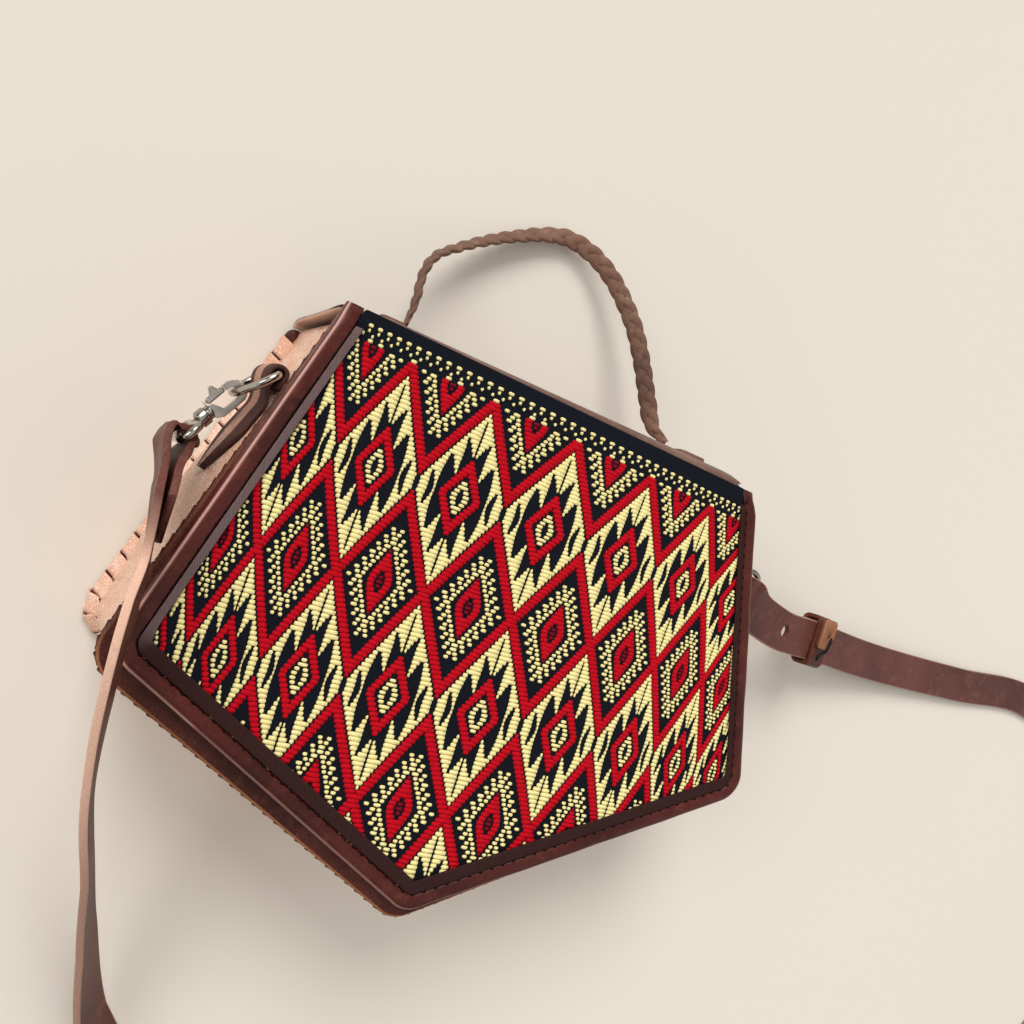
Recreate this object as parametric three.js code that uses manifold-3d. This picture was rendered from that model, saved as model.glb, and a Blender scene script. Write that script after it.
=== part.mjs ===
// A five-sided leather shoulder bag with a woven cloth flap, lying on its back.
// Millimetres. +X runs across the bag, +Y up towards the top handle, +Z out of
// the flap. The outer face of the back panel is the plane z = 0.
import * as THREE from 'three';
import { mergeVertices } from 'three/addons/utils/BufferGeometryUtils.js';
import Module from 'manifold-3d';

const wasm = await Module();
wasm.setup();

// Body: two panels laced to a gusset that runs round four of the five sides
const BODY_DEPTH = 56;
const BODY_WALL = 2.4;
const SEAM_GAP = 0.3;
const GUSSET_INSET = 3;
const BODY_ROUND = 11;
const TOP_ROUND = 3;
const BODY_CORNERS = [[-84.5, 74], [-116.5, -36], [-3, -95.5], [113.5, -34.5], [80, 74]];

// Soft bulge of each gusset run: its peak, and its place along the run and
// through the depth, both from 0 to 1
const BULGES = [
  { peak: 4.5, along: 0.6, deep: 0.3 },
  { peak: 2, along: 0.5, deep: 0.45 },
  { peak: 2, along: 0.5, deep: 0.45 },
  { peak: 3, along: 0.6, deep: 0.4 },
];

// Flap: a leather sheet with the woven cloth on it, edged by tape and binding
const FLAP_CORNERS = [[-84.2, 78.5], [-112.7, -31.5], [-2.9, -90.3], [121, -30.6], [80.5, 77.6]];
const FLAP_ROUND = 10;
const FLAP_WALL = 1.6;
const CLOTH_WALL = 1.8;
const BINDING_WIDTH = 5;
const BINDING_HEIGHT = 5.2;
// Section of the binding, as shares of its width inwards and of its height
const BINDING_SECTION = [
  [0.2, 0], [0, 0.2], [0, 0.7], [0.14, 0.92], [0.4, 1], [0.75, 0.95], [1, 0.8], [1, 0],
];
const TAPE_WIDTH = 4.8;
const TAPE_WALL = 0.8;
const TAPE_TOP = 6;

// The flap arches over the mouth to the back panel: its section in y and z,
// and how far each row drops at the slack left end
const ARCH = [
  { y: 74.7, z: 1.2, drop: 0 },
  { y: 77.4, z: 3, drop: 0.6 },
  { y: 79.8, z: 8.5, drop: 2 },
  { y: 81.5, z: 18, drop: 3.4 },
  { y: 82.2, z: 29, drop: 3.8 },
  { y: 82, z: 40, drop: 3.4 },
  { y: 80.9, z: 49, drop: 2.2 },
  { y: 78.6, z: 55.2, drop: 0.8 },
  { y: 75.5, z: 57.1, drop: 0 },
];
const ARCH_WALL = 1.5;
const ARCH_SLACK = 16;
const ARCH_LEAN = 1.2 / 80;
const ARCH_CROWN = 82.2;
const ARCH_STEPS = 14;

// Handle: a flat braid, its centre line and its turn from standing on edge to
// lying flat, with a flat tab at each end
const BRAID_WIDTH = 7;
const BRAID_WALL = 3.6;
const BRAID_SIDES = 10;
const BRAID_STEPS = 3;
const HANDLE = [
  { x: -56.8, y: 85.3, z: 29.5, turn: -11 },
  { x: -55.5, y: 90.2, z: 27.5, turn: -12 },
  { x: -54.3, y: 96.7, z: 24, turn: -16 },
  { x: -53.3, y: 106, z: 19, turn: -11 },
  { x: -49.5, y: 115, z: 14, turn: 5 },
  { x: -40.5, y: 123.5, z: 9.5, turn: 19 },
  { x: -29.9, y: 131.8, z: 6.6, turn: 30 },
  { x: -17.7, y: 139.8, z: 4.6, turn: 42 },
  { x: -7.7, y: 145.3, z: 3.6, turn: 58 },
  { x: 1.4, y: 148.1, z: 4, turn: 85 },
  { x: 11.9, y: 146.7, z: 6, turn: 111 },
  { x: 20.8, y: 141.8, z: 9, turn: 122 },
  { x: 27.4, y: 135.4, z: 12, turn: 125 },
  { x: 34.6, y: 125.8, z: 16, turn: 127 },
  { x: 40.9, y: 113.4, z: 20, turn: 127 },
  { x: 46.1, y: 101.1, z: 23.5, turn: 127 },
  { x: 50.8, y: 90.7, z: 27, turn: 125 },
  { x: 56.4, y: 86.8, z: 30, turn: 120 },
];
const HANDLE_TABS = [
  { name: 'handle_tab_left', x: -62.6, length: 9 },
  { name: 'handle_tab_right', x: 66.2, length: 13 },
];
const HANDLE_TAB_WIDTH = 8;
const HANDLE_TAB_WALL = 2;
const HANDLE_TAB_Z = 33;

// Side tabs: a leather strip folded round a metal ring and laid on the gusset.
// Rows run along the gusset from the top and out from its face.
const TAB_WIDTH = 19;
const TAB_WALL = 1.7;
const TAB_Z = 33;
const TAB_TIP_LENGTH = 14;
const TAB_TIP_WIDTH = 4;
const TAB = [
  { along: 57, out: 1.15 },
  { along: 46, out: 1.15 },
  { along: 36, out: 1.15 },
  { along: 31.5, out: 1.3 },
  { along: 28.6, out: 2.6 },
  { along: 26, out: 4.6 },
  { along: 24.2, out: 5.6 },
  { along: 22.5, out: 5.95 },
  { along: 20.7, out: 5.3 },
  { along: 20, out: 3.5 },
  { along: 20.7, out: 1.75 },
  { along: 22.5, out: 1.15 },
  { along: 26.2, out: 1.15 },
];
const FOLD = { along: 22.5, out: 3.5 };

// Metal at each side, along local x from the strap's eye bar towards the bag
const RING = { wire: 1.15, length: 12.4, half: 13.1 };
const EYE = { wire: 1.2, half: 10.8, back: 5.8, neck: 7, stem: 1.3 };
// Upper half of each wire's outline, as shares of its length and half width
const RING_OUTLINE = [[0, 0.78], [0.12, 1], [0.5, 0.97], [0.87, 0.58]];
const EYE_OUTLINE = [[0, 0.86], [0.25, 1], [0.82, 1], [1.04, 0.86]];
const WIRE_SIDES = 8;
const WIRE_STEPS = 32;
// Profile of the swivel barrel: x and radius
const BARREL = [[7.3, 0], [7.3, 2.1], [8, 2.7], [10.6, 2.7], [11, 2.1], [12.2, 2.1], [12.8, 1.4], [12.8, 0]];
const BARREL_SIDES = 14;
const HOOK = { start: 12, end: 24.6, out: 3.6, inner: 1.8, innerEnd: 22.4, wall: 3.2, nose: 19.4 };
const HOOK_CONTACT = 20.6;
const HOOK_SHOULDER = { length: 2, out: 2.5 };
// Recess behind the gate's pivot: its ends from the pivot, and its clearance
const HOOK_RECESS = { back: 1.4, front: 0.2, foot: 2, clear: 0.4 };
const GATE = { pivot: 13.6, tip: 19.1, y: 2.7, half: 0.9, wall: 2.4, nub: 16.2, nubHeight: 2 };
const NUB = { foot: 1.4, head: 0.2, tip: 1, toe: 1.6 };
// The right hook's gate is fast: its shift against the frame, and the eye's stem
const FIXED_GATE_SHIFT = 0.6;
const FIXED_STEM = { radius: 1.2, length: 2.4, middle: 7.2 };
// Heading of the ring and of the hook, as turns outward from the gusset run
const CHAINS = [
  { side: 'left', run: 0, ringTurn: 26, hookTurn: 13, roll: 0 },
  { side: 'right', run: 3, ringTurn: 45, hookTurn: 54, roll: 90 },
];

// Strap: the short ply at the left eye, then the centre line from that eye over
// the flap's left corner and round on the floor to the keeper at the right
const STRAP_WIDTH = 18;
const STRAP_WALL = 2.2;
const STRAP_PLY = [
  { x: -109.4, y: 5, z: 56.2, turn: -8 },
  { x: -109.3, y: 10, z: 49.6, turn: -5 },
  { x: -109.3, y: 17, z: 41.2, turn: 3 },
];
const STRAP_RUN = [
  { x: -112.6, y: 17, z: 41, turn: 4 },
  { x: -112.2, y: 9, z: 50.5, turn: 8 },
  { x: -112, y: -6.2, z: 68, turn: 13.5 },
  { x: -112.5, y: -16, z: 74.5, turn: 15 },
  { x: -112.1, y: -26, z: 76, turn: 13.5 },
  { x: -108.8, y: -46.9, z: 68.5, turn: 13 },
  { x: -102.4, y: -73, z: 54, turn: 9 },
  { x: -94.2, y: -95.6, z: 40, turn: 8 },
  { x: -84.3, y: -123.7, z: 25, turn: 15 },
  { x: -68.9, y: -161.5, z: 10.5, turn: 28 },
  { x: -48, y: -190, z: 4.2, turn: 78 },
  { x: -14, y: -208, z: 1.5, turn: 90 },
  { x: 46, y: -217, z: 1.2, turn: 90 },
  { x: 122, y: -218, z: 1.2, turn: 90 },
  { x: 208, y: -213, z: 1.2, turn: 90 },
  { x: 292, y: -206, z: 1.2, turn: 90 },
  { x: 370, y: -198, z: 1.2, turn: 90 },
  { x: 438, y: -185, z: 1.2, turn: 90 },
  { x: 488, y: -158, z: 1.2, turn: 90 },
  { x: 513, y: -112, z: 1.2, turn: 90 },
  { x: 511, y: -60, z: 1.2, turn: 90 },
  { x: 486, y: -10, z: 1.2, turn: 90 },
  { x: 442, y: 31, z: 1.2, turn: 90 },
  { x: 382.2, y: 46.7, z: 1.2, turn: 90 },
  { x: 318.4, y: 41.5, z: 2.4, turn: 90 },
  { x: 261.1, y: 37.6, z: 5.6, turn: 90 },
  { x: 222.9, y: 36, z: 10.4, turn: 90 },
  { x: 190, y: 35.8, z: 16.4, turn: 90 },
  { x: 168, y: 35.6, z: 20.6, turn: 90 },
];
// The loop round an eye, and how far its ends climb at the left eye
const LOOP_RADIUS = 3.4;
const LOOP_ANGLES = [110, 60, 0, -60, -110];
const LOOP_CLIMB = 1;
const STRAP_STEPS = 3;

// Tongue: loops round the right eye, carries the hole and ends in the keeper
const TONGUE_PLY = [
  { x: 134, y: 36.6, z: 26.6 },
  { x: 125, y: 38.4, z: 28.6 },
];
const TONGUE_RUN = [
  { x: 126, y: 38.2, z: 33.6 },
  { x: 137, y: 36.2, z: 30.8 },
  { x: 150, y: 34.8, z: 28 },
  { x: 165, y: 35.2, z: 24.6 },
  { x: 178, y: 35.8, z: 21.6 },
  { x: 186.5, y: 36, z: 19.8 },
];
const TONGUE_ACROSS = [new THREE.Vector3(0.33, 0.94, 0), new THREE.Vector3(0, 1, 0)];
const TONGUE_HOLE = { radius: 2.7, depth: 12, sides: 16, x: 150, y: 34.8, z: 28 };

// Keeper: a leather loop round strap and tongue, with a tan tag and a lace
const KEEPER = { x: 177.8, y: 35.8, z: 20.1, heading: 1, pitch: 11.6 };
const KEEPER_SIZE = { length: 11, width: 23.4, height: 9.8, wall: 1.8, round: 3, innerRound: 1.4 };
const TAG = { length: 11.5, width: 14, wall: 1.6, shift: 4.2, round: 2, hole: 1.3 };
const LACE = [[1.4, 3.4, 1.3], [0.7, 0.6, 1.6], [-0.4, -2.8, 1.5], [-1.6, -5.4, -0.3], [-2.4, -8, -0.5]];
const LACE_RADIUS = 1;
const LACE_SIDES = 4;
const LACE_STEPS = 12;

// Steps round a corner of an outline, along one side of it and through the
// gusset's depth, and the least radius of a corner
const CORNER_STEPS = 6;
const TOP_CORNER_STEPS = 2;
const RUN_STEPS = 8;
const DEPTH_STEPS = 6;
const LEAST_ROUND = 0.4;

const FINISH = {
  tan: { color: 0xc98f6b, roughness: 0.45, metalness: 0 },
  brown: { color: 0x5a2f26, roughness: 0.5, metalness: 0 },
  dark: { color: 0x4a2620, roughness: 0.5, metalness: 0 },
  braid: { color: 0x7a5240, roughness: 0.65, metalness: 0 },
  cloth: { color: 0xa3222e, roughness: 0.9, metalness: 0 },
  tape: { color: 0x4c3d44, roughness: 0.85, metalness: 0 },
  nickel: { color: 0xc9c6c0, roughness: 0.2, metalness: 1 },
  tag: { color: 0xb06a3c, roughness: 0.6, metalness: 0 },
  lace: { color: 0x17120f, roughness: 0.7, metalness: 0 },
};

const bag = new THREE.Group();
const degrees = THREE.MathUtils.degToRad;

// Shape helpers

function closed(geometry) {
  const bare = geometry.index ? geometry : mergeVertices(geometry);
  bare.deleteAttribute('normal');
  bare.deleteAttribute('uv');
  bare.clearGroups();
  const merged = mergeVertices(bare, 1e-4);
  const at = merged.attributes.position;
  const kept = [];
  const a = new THREE.Vector3();
  const b = new THREE.Vector3();
  const c = new THREE.Vector3();
  let volume = 0;
  for (let i = 0; i < merged.index.count; i += 3) {
    const [p, q, r] = [0, 1, 2].map((k) => merged.index.getX(i + k));
    if (p === q || q === r || r === p) continue;
    kept.push([p, q, r]);
    b.fromBufferAttribute(at, q).cross(c.fromBufferAttribute(at, r));
    volume += a.fromBufferAttribute(at, p).dot(b);
  }
  merged.setIndex(kept.flatMap(([p, q, r]) => (volume > 0 ? [p, q, r] : [p, r, q])));
  merged.computeVertexNormals();
  return merged;
}

function solid(geometry) {
  const mesh = closed(geometry);
  const vertProperties = new Float32Array(mesh.attributes.position.array);
  const triVerts = new Uint32Array(mesh.index.array);
  return new wasm.Manifold(new wasm.Mesh({ numProp: 3, vertProperties, triVerts }));
}

function geometryOf(manifold) {
  const mesh = manifold.getMesh();
  const geometry = new THREE.BufferGeometry();
  geometry.setAttribute('position', new THREE.BufferAttribute(new Float32Array(mesh.vertProperties), 3));
  geometry.setIndex(Array.from(mesh.triVerts));
  geometry.computeVertexNormals();
  return geometry;
}

// Bends a unit box of the given steps: place(x, y, z, point) sets each corner
function bend(alongSteps, acrossSteps, place) {
  const box = new THREE.BoxGeometry(1, 1, 1, alongSteps, acrossSteps, 1).translate(0.5, 0.5, 0.5);
  const at = box.attributes.position;
  const point = new THREE.Vector3();
  for (let i = 0; i < at.count; i += 1) {
    place(at.getX(i), at.getY(i), at.getZ(i), point);
    at.setXYZ(i, point.x, point.y, point.z);
  }
  return closed(box);
}

// Skins a list of rings of equal count and closes both ends with fans
function loft(rings) {
  const count = rings[0].length;
  const points = rings.flat();
  const index = [];
  for (let i = 0; i + 1 < rings.length; i += 1) {
    for (let k = 0; k < count; k += 1) {
      const a = i * count + k;
      const b = i * count + ((k + 1) % count);
      index.push(a, b, a + count, b, b + count, a + count);
    }
  }
  const last = (rings.length - 1) * count;
  for (let k = 1; k + 1 < count; k += 1) {
    index.push(0, k + 1, k, last, last + k, last + k + 1);
  }
  const geometry = new THREE.BufferGeometry().setFromPoints(points);
  geometry.setIndex(index);
  return closed(geometry);
}

function add(name, geometry, finish, parent = bag) {
  const mesh = new THREE.Mesh(geometry, new THREE.MeshStandardMaterial(FINISH[finish]));
  mesh.name = name;
  parent.add(mesh);
  return mesh;
}

// Moves each edge of a five-sided outline inwards: sides by one amount, the
// top edge by another
function inset(corners, side, top = side) {
  const edges = corners.map(([x, y], i) => {
    const [nx, ny] = corners[(i + 1) % corners.length];
    const along = new THREE.Vector2(nx - x, ny - y).normalize();
    const inwards = new THREE.Vector2(-along.y, along.x);
    const amount = i === corners.length - 1 ? top : side;
    return { from: new THREE.Vector2(x, y).addScaledVector(inwards, amount), along };
  });
  return edges.map((edge, i) => {
    const before = edges[(i + edges.length - 1) % edges.length];
    const gap = edge.from.clone().sub(before.from);
    const reach = gap.cross(edge.along) / before.along.cross(edge.along);
    const point = before.from.clone().addScaledVector(before.along, reach);
    return [point.x, point.y];
  });
}

// Points with outward normals round an outline whose corners are rounded
function rail(corners, sideRound, topRound, open) {
  const points = [];
  const count = corners.length;
  const at = (i) => new THREE.Vector2(...corners[(i + count) % count]);
  corners.forEach((corner, i) => {
    const top = i === 0 || i === count - 1;
    const here = at(i);
    const back = at(i - 1).sub(here).normalize();
    const ahead = at(i + 1).sub(here).normalize();
    const radius = open && top ? 0 : Math.max(top ? topRound : sideRound, LEAST_ROUND);
    const half = Math.acos(back.dot(ahead)) / 2;
    const centre = here.clone().addScaledVector(back.clone().add(ahead).normalize(), radius / Math.sin(half));
    const first = new THREE.Vector2(back.y, -back.x).multiplyScalar(-1);
    const second = new THREE.Vector2(ahead.y, -ahead.x);
    if (open && top) {
      points.push({ at: here, normal: i === 0 ? second : first });
    } else {
      const steps = top ? TOP_CORNER_STEPS : CORNER_STEPS;
      const turn = Math.atan2(first.cross(second), first.dot(second));
      for (let k = 0; k <= steps; k += 1) {
        const normal = first.clone().rotateAround(new THREE.Vector2(), (turn * k) / steps);
        points.push({ at: centre.clone().addScaledVector(normal, radius), normal });
      }
    }
    if (i + 1 < count) {
      const from = points[points.length - 1];
      const nextTop = i + 1 === count - 1;
      const nextRadius = open && nextTop ? 0 : Math.max(nextTop ? topRound : sideRound, LEAST_ROUND);
      const nextHalf = Math.acos(ahead.clone().negate().dot(at(i + 2).sub(at(i + 1)).normalize())) / 2;
      const to = at(i + 1).addScaledVector(ahead, -nextRadius / Math.tan(nextHalf));
      for (let k = 1; k < RUN_STEPS; k += 1) {
        points.push({ at: from.at.clone().lerp(to, k / RUN_STEPS), normal: second.clone() });
      }
    }
  });
  return points;
}

function plate(corners, sideRound, topRound, z, wall) {
  const shape = new THREE.Shape(rail(corners, sideRound, topRound, false).map((p) => p.at));
  const geometry = new THREE.ExtrudeGeometry(shape, { depth: wall, bevelEnabled: false });
  return geometry.translate(0, 0, z);
}

function curveThrough(rows) {
  const points = rows.map((r) => new THREE.Vector3(r.x, r.y, r.z));
  return new THREE.CatmullRomCurve3(points, false, 'centripetal');
}

// A strip along table rows; across(row place, tangent) gives its width direction
function ribbon(rows, steps, width, wall, across) {
  const curve = curveThrough(rows);
  const side = new THREE.Vector3();
  return bend((rows.length - 1) * steps, 1, (x, y, z, point) => {
    const tangent = curve.getTangent(x);
    side.copy(across(x * (rows.length - 1), tangent));
    const normal = side.clone().cross(tangent).normalize();
    point.copy(curve.getPoint(x));
    point.addScaledVector(side, (y - 0.5) * width).addScaledVector(normal, (z - 0.5) * wall);
  });
}

// Width direction for rows that hold a turn: 0 stands on edge, 90 lies flat
function turned(rows) {
  return (place, tangent) => {
    const low = Math.min(Math.floor(place), rows.length - 2);
    const angle = degrees(THREE.MathUtils.lerp(rows[low].turn, rows[low + 1].turn, place - low));
    const level = tangent.clone().cross(new THREE.Vector3(0, 0, 1)).normalize();
    const upright = level.clone().cross(tangent);
    return upright.multiplyScalar(Math.cos(angle)).addScaledVector(level, Math.sin(angle));
  };
}

function tube(points, radius, sides, steps, shut) {
  const curve = new THREE.CatmullRomCurve3(points, shut, 'centripetal');
  if (shut) return closed(new THREE.TubeGeometry(curve, steps, radius, sides, true));
  const shape = new THREE.Shape().absarc(0, 0, radius, 0, Math.PI * 2);
  return closed(new THREE.ExtrudeGeometry(shape, { steps, curveSegments: sides, extrudePath: curve }));
}

// Body

function gussetBulge(run, part, deep) {
  const { peak, along, deep: centre } = BULGES[run];
  const rise = (value, top) => (value < top ? value / top : (1 - value) / (1 - top));
  const swell = (value, top) => Math.sin((Math.PI / 2) * rise(value, top));
  return peak * swell(part, along) ** 2 * swell(deep, centre);
}

function gussetDepth(z) {
  return THREE.MathUtils.clamp((z - BODY_WALL) / (BODY_DEPTH - 2 * BODY_WALL), 0, 1);
}

function body() {
  const back = plate(BODY_CORNERS, BODY_ROUND, TOP_ROUND, 0, BODY_WALL);
  const front = plate(BODY_CORNERS, BODY_ROUND, TOP_ROUND, BODY_DEPTH - BODY_WALL, BODY_WALL);
  add('back_panel', closed(back), 'brown');
  add('front_panel', closed(front), 'brown');
  const outer = inset(BODY_CORNERS, GUSSET_INSET, 0);
  const points = rail(outer, BODY_ROUND - GUSSET_INSET, 0, true);
  const low = BODY_WALL + SEAM_GAP;
  const high = BODY_DEPTH - BODY_WALL - SEAM_GAP;
  const gusset = bend(points.length - 1, DEPTH_STEPS, (x, y, z, point) => {
    const { at, normal } = points[Math.round(x * (points.length - 1))];
    const height = THREE.MathUtils.lerp(low, high, y);
    const { run, part } = runPlace(outer, at);
    const shift = gussetBulge(run, part, gussetDepth(height)) - (1 - z) * BODY_WALL;
    point.set(at.x + normal.x * shift, at.y + normal.y * shift, height);
  });
  add('gusset', gusset, 'tan');
}

// The gusset run that a point of its rail lies on, and how far along it
function runPlace(corners, at) {
  let best = { run: 0, part: 0, miss: Infinity };
  for (let run = 0; run + 1 < corners.length; run += 1) {
    const from = new THREE.Vector2(...corners[run]);
    const along = new THREE.Vector2(...corners[run + 1]).sub(from);
    const part = THREE.MathUtils.clamp(at.clone().sub(from).dot(along) / along.lengthSq(), 0, 1);
    const miss = from.addScaledVector(along, part).distanceTo(at);
    if (miss < best.miss) best = { run, part, miss };
  }
  return best;
}

// A point on a gusset run, measured along it from the mouth and out of its face
function onGusset(run, along, out, z) {
  const corners = inset(BODY_CORNERS, GUSSET_INSET, 0);
  const top = new THREE.Vector2(...(run === 0 ? corners[0] : corners[4]));
  const low = new THREE.Vector2(...(run === 0 ? corners[1] : corners[3]));
  const length = top.distanceTo(low);
  const heading = low.clone().sub(top).normalize();
  const normal = new THREE.Vector2(heading.y, -heading.x).multiplyScalar(run === 0 ? 1 : -1);
  const part = run === 0 ? along / length : 1 - along / length;
  const lift = out + gussetBulge(run, part, gussetDepth(z));
  return top.addScaledVector(heading, along).addScaledVector(normal, lift);
}

// Flap

function archLift(x) {
  return x * ARCH_LEAN;
}

function flap() {
  const sheetZ = BODY_DEPTH + SEAM_GAP;
  const edge = BINDING_WIDTH + SEAM_GAP;
  const sheet = solid(plate(inset(FLAP_CORNERS, edge, 1), FLAP_ROUND - edge, 1, sheetZ, FLAP_WALL));
  const left = FLAP_CORNERS[0][0] + SEAM_GAP;
  const right = FLAP_CORNERS[4][0] - SEAM_GAP;
  const rows = curveThrough(ARCH.map(({ drop, y, z }) => ({ x: drop, y, z })));
  const arch = bend(ARCH_STEPS, 2 * (ARCH.length - 1), (x, y, z, point) => {
    const row = rows.getPoint(y);
    const tuck = edge * THREE.MathUtils.smoothstep(row.z, BODY_DEPTH - edge, BODY_DEPTH - SEAM_GAP);
    const across = THREE.MathUtils.lerp(left + tuck, right - tuck, x);
    const slack = 1 - THREE.MathUtils.smoothstep(across, left, left + ARCH_SLACK);
    const tangent = rows.getTangent(y).setX(0).normalize();
    const lift = archLift(across) * Math.sin(Math.PI * y) - slack * row.x;
    const out = (z - 0.5) * ARCH_WALL;
    point.set(across, row.y + lift + tangent.z * out, row.z - tangent.y * out);
  });
  add('flap_sheet', geometryOf(sheet.add(solid(arch))), 'brown');
  const clothZ = sheetZ + FLAP_WALL + SEAM_GAP;
  const cloth = plate(inset(FLAP_CORNERS, edge, 0), FLAP_ROUND - edge, 1, clothZ, CLOTH_WALL);
  add('flap_cloth', closed(cloth), 'cloth');
  const outer = rail(FLAP_CORNERS, FLAP_ROUND, 0, true);
  const inner = rail(inset(FLAP_CORNERS, BINDING_WIDTH, 0), FLAP_ROUND - BINDING_WIDTH, 0, true);
  const binding = outer.map((p, i) => BINDING_SECTION.map(([part, height]) => {
    const at = p.at.clone().lerp(inner[i].at, part);
    return new THREE.Vector3(at.x, at.y, sheetZ + height * BINDING_HEIGHT);
  }));
  add('flap_binding', loft(binding), 'dark');
  const tapeOuter = rail(inset(FLAP_CORNERS, edge, TAPE_TOP), FLAP_ROUND - edge, 0, true);
  const tapeInner = rail(inset(FLAP_CORNERS, edge + TAPE_WIDTH, TAPE_TOP), 1, 0, true);
  const tapeZ = clothZ + CLOTH_WALL + SEAM_GAP;
  const tape = bend(tapeOuter.length - 1, 1, (x, y, z, point) => {
    const i = Math.round(x * (tapeOuter.length - 1));
    const at = tapeOuter[i].at.clone().lerp(tapeInner[i].at, y);
    point.set(at.x, at.y, tapeZ + z * TAPE_WALL);
  });
  add('flap_tape', tape, 'tape');
}

// Handle

function handle() {
  const curve = curveThrough(HANDLE);
  const across = turned(HANDLE);
  const steps = (HANDLE.length - 1) * BRAID_STEPS;
  const rings = [];
  for (let i = 0; i <= steps; i += 1) {
    const tangent = curve.getTangent(i / steps);
    const width = across((i / steps) * (HANDLE.length - 1), tangent);
    const wall = width.clone().cross(tangent).normalize();
    const ring = [];
    for (let k = 0; k < BRAID_SIDES; k += 1) {
      const angle = (2 * Math.PI * k) / BRAID_SIDES;
      const point = curve.getPoint(i / steps);
      point.addScaledVector(width, (Math.cos(angle) * BRAID_WIDTH) / 2);
      ring.push(point.addScaledVector(wall, (Math.sin(angle) * BRAID_WALL) / 2));
    }
    rings.push(ring);
  }
  add('handle_braid', loft(rings), 'braid');
  HANDLE_TABS.forEach(({ name, x, length }) => {
    const seat = ARCH_CROWN + ARCH_WALL / 2 + SEAM_GAP;
    const box = new THREE.BoxGeometry(length, HANDLE_TAB_WALL, HANDLE_TAB_WIDTH);
    const tab = add(name, closed(box), 'dark');
    tab.position.set(x, seat + archLift(x) + HANDLE_TAB_WALL / 2, HANDLE_TAB_Z);
    tab.rotation.z = Math.atan(ARCH_LEAN);
  });
}

// Side tabs and their metal

function sideTab(side, run) {
  const rows = TAB.map((r) => new THREE.Vector3(r.along, r.out, 0));
  const curve = new THREE.CatmullRomCurve3(rows, false, 'centripetal');
  const tip = TAB[0].along;
  const geometry = bend((TAB.length - 1) * 2, 1, (x, y, z, point) => {
    const row = curve.getPoint(x);
    const tangent = curve.getTangent(x);
    const out = (z - 0.5) * TAB_WALL;
    const taper = THREE.MathUtils.clamp((tip - row.x) / TAB_TIP_LENGTH, 0, 1);
    const width = x < 0.5 ? THREE.MathUtils.lerp(TAB_TIP_WIDTH, TAB_WIDTH, taper) : TAB_WIDTH;
    const height = TAB_Z + (y - 0.5) * width;
    const at = onGusset(run, row.x + tangent.y * out, row.y - tangent.x * out, height);
    point.set(at.x, at.y, height);
  });
  add(`${side}_tab`, geometry, 'brown');
}

// A closed wire bent to an outline in x and z that is alike above and below
function wireLoop(shares, length, half, radius) {
  const upper = shares.map(([x, z]) => new THREE.Vector3(x * length, 0, z * half));
  const lower = upper.map((p) => new THREE.Vector3(p.x, 0, -p.z)).reverse();
  const outline = [new THREE.Vector3(), ...upper, new THREE.Vector3(length, 0, 0), ...lower];
  return tube(outline, radius, WIRE_SIDES, WIRE_STEPS, true);
}

function barAlongX(radius, length, middle) {
  const bar = new THREE.CylinderGeometry(radius, radius, length, BARREL_SIDES).rotateZ(Math.PI / 2);
  return solid(bar.translate(middle, 0, 0));
}

function eyeWire() {
  const { half, back, wire, neck, stem } = EYE;
  const loop = wireLoop(EYE_OUTLINE, back, half, wire);
  return solid(loop).add(barAlongX(stem, neck - back, (neck + back) / 2));
}

function hookBody() {
  const { start, end, out, inner, innerEnd, wall, nose } = HOOK;
  const recess = GATE.y - GATE.half - HOOK_RECESS.clear;
  const shape = new THREE.Shape();
  shape.moveTo(start, -HOOK_SHOULDER.out);
  shape.lineTo(start + HOOK_SHOULDER.length, -out);
  shape.lineTo(end - out, -out);
  shape.absarc(end - out, 0, out, -Math.PI / 2, Math.PI / 2, false);
  shape.lineTo(nose, out);
  shape.lineTo(nose, inner);
  shape.lineTo(innerEnd - inner, inner);
  shape.absarc(innerEnd - inner, 0, inner, Math.PI / 2, -Math.PI / 2, true);
  shape.lineTo(GATE.pivot + HOOK_RECESS.foot, -inner);
  shape.lineTo(GATE.pivot + HOOK_RECESS.front, recess);
  shape.lineTo(GATE.pivot - HOOK_RECESS.back, recess);
  shape.lineTo(GATE.pivot - HOOK_RECESS.back, out);
  shape.lineTo(start, HOOK_SHOULDER.out);
  const frame = new THREE.ExtrudeGeometry(shape, { depth: wall, bevelEnabled: false, curveSegments: 10 });
  const profile = BARREL.map(([x, r]) => new THREE.Vector2(r, x));
  const barrel = new THREE.LatheGeometry(profile, BARREL_SIDES).rotateZ(-Math.PI / 2);
  return solid(frame.translate(0, 0, -wall / 2)).add(solid(barrel));
}

function gateLever() {
  const { pivot, tip, y, half, wall, nub, nubHeight } = GATE;
  const shape = new THREE.Shape();
  shape.absarc(pivot, y, half, Math.PI / 2, Math.PI * 1.5, false);
  shape.lineTo(tip, y - half);
  shape.lineTo(tip, y + half);
  shape.lineTo(nub + NUB.toe, y + half);
  shape.lineTo(nub + NUB.tip, y + half + nubHeight);
  shape.lineTo(nub - NUB.head, y + half + nubHeight);
  shape.lineTo(nub - NUB.foot, y + half);
  const lever = new THREE.ExtrudeGeometry(shape, { depth: wall, bevelEnabled: false, curveSegments: 6 });
  return lever.translate(0, 0, -wall / 2);
}

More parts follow.
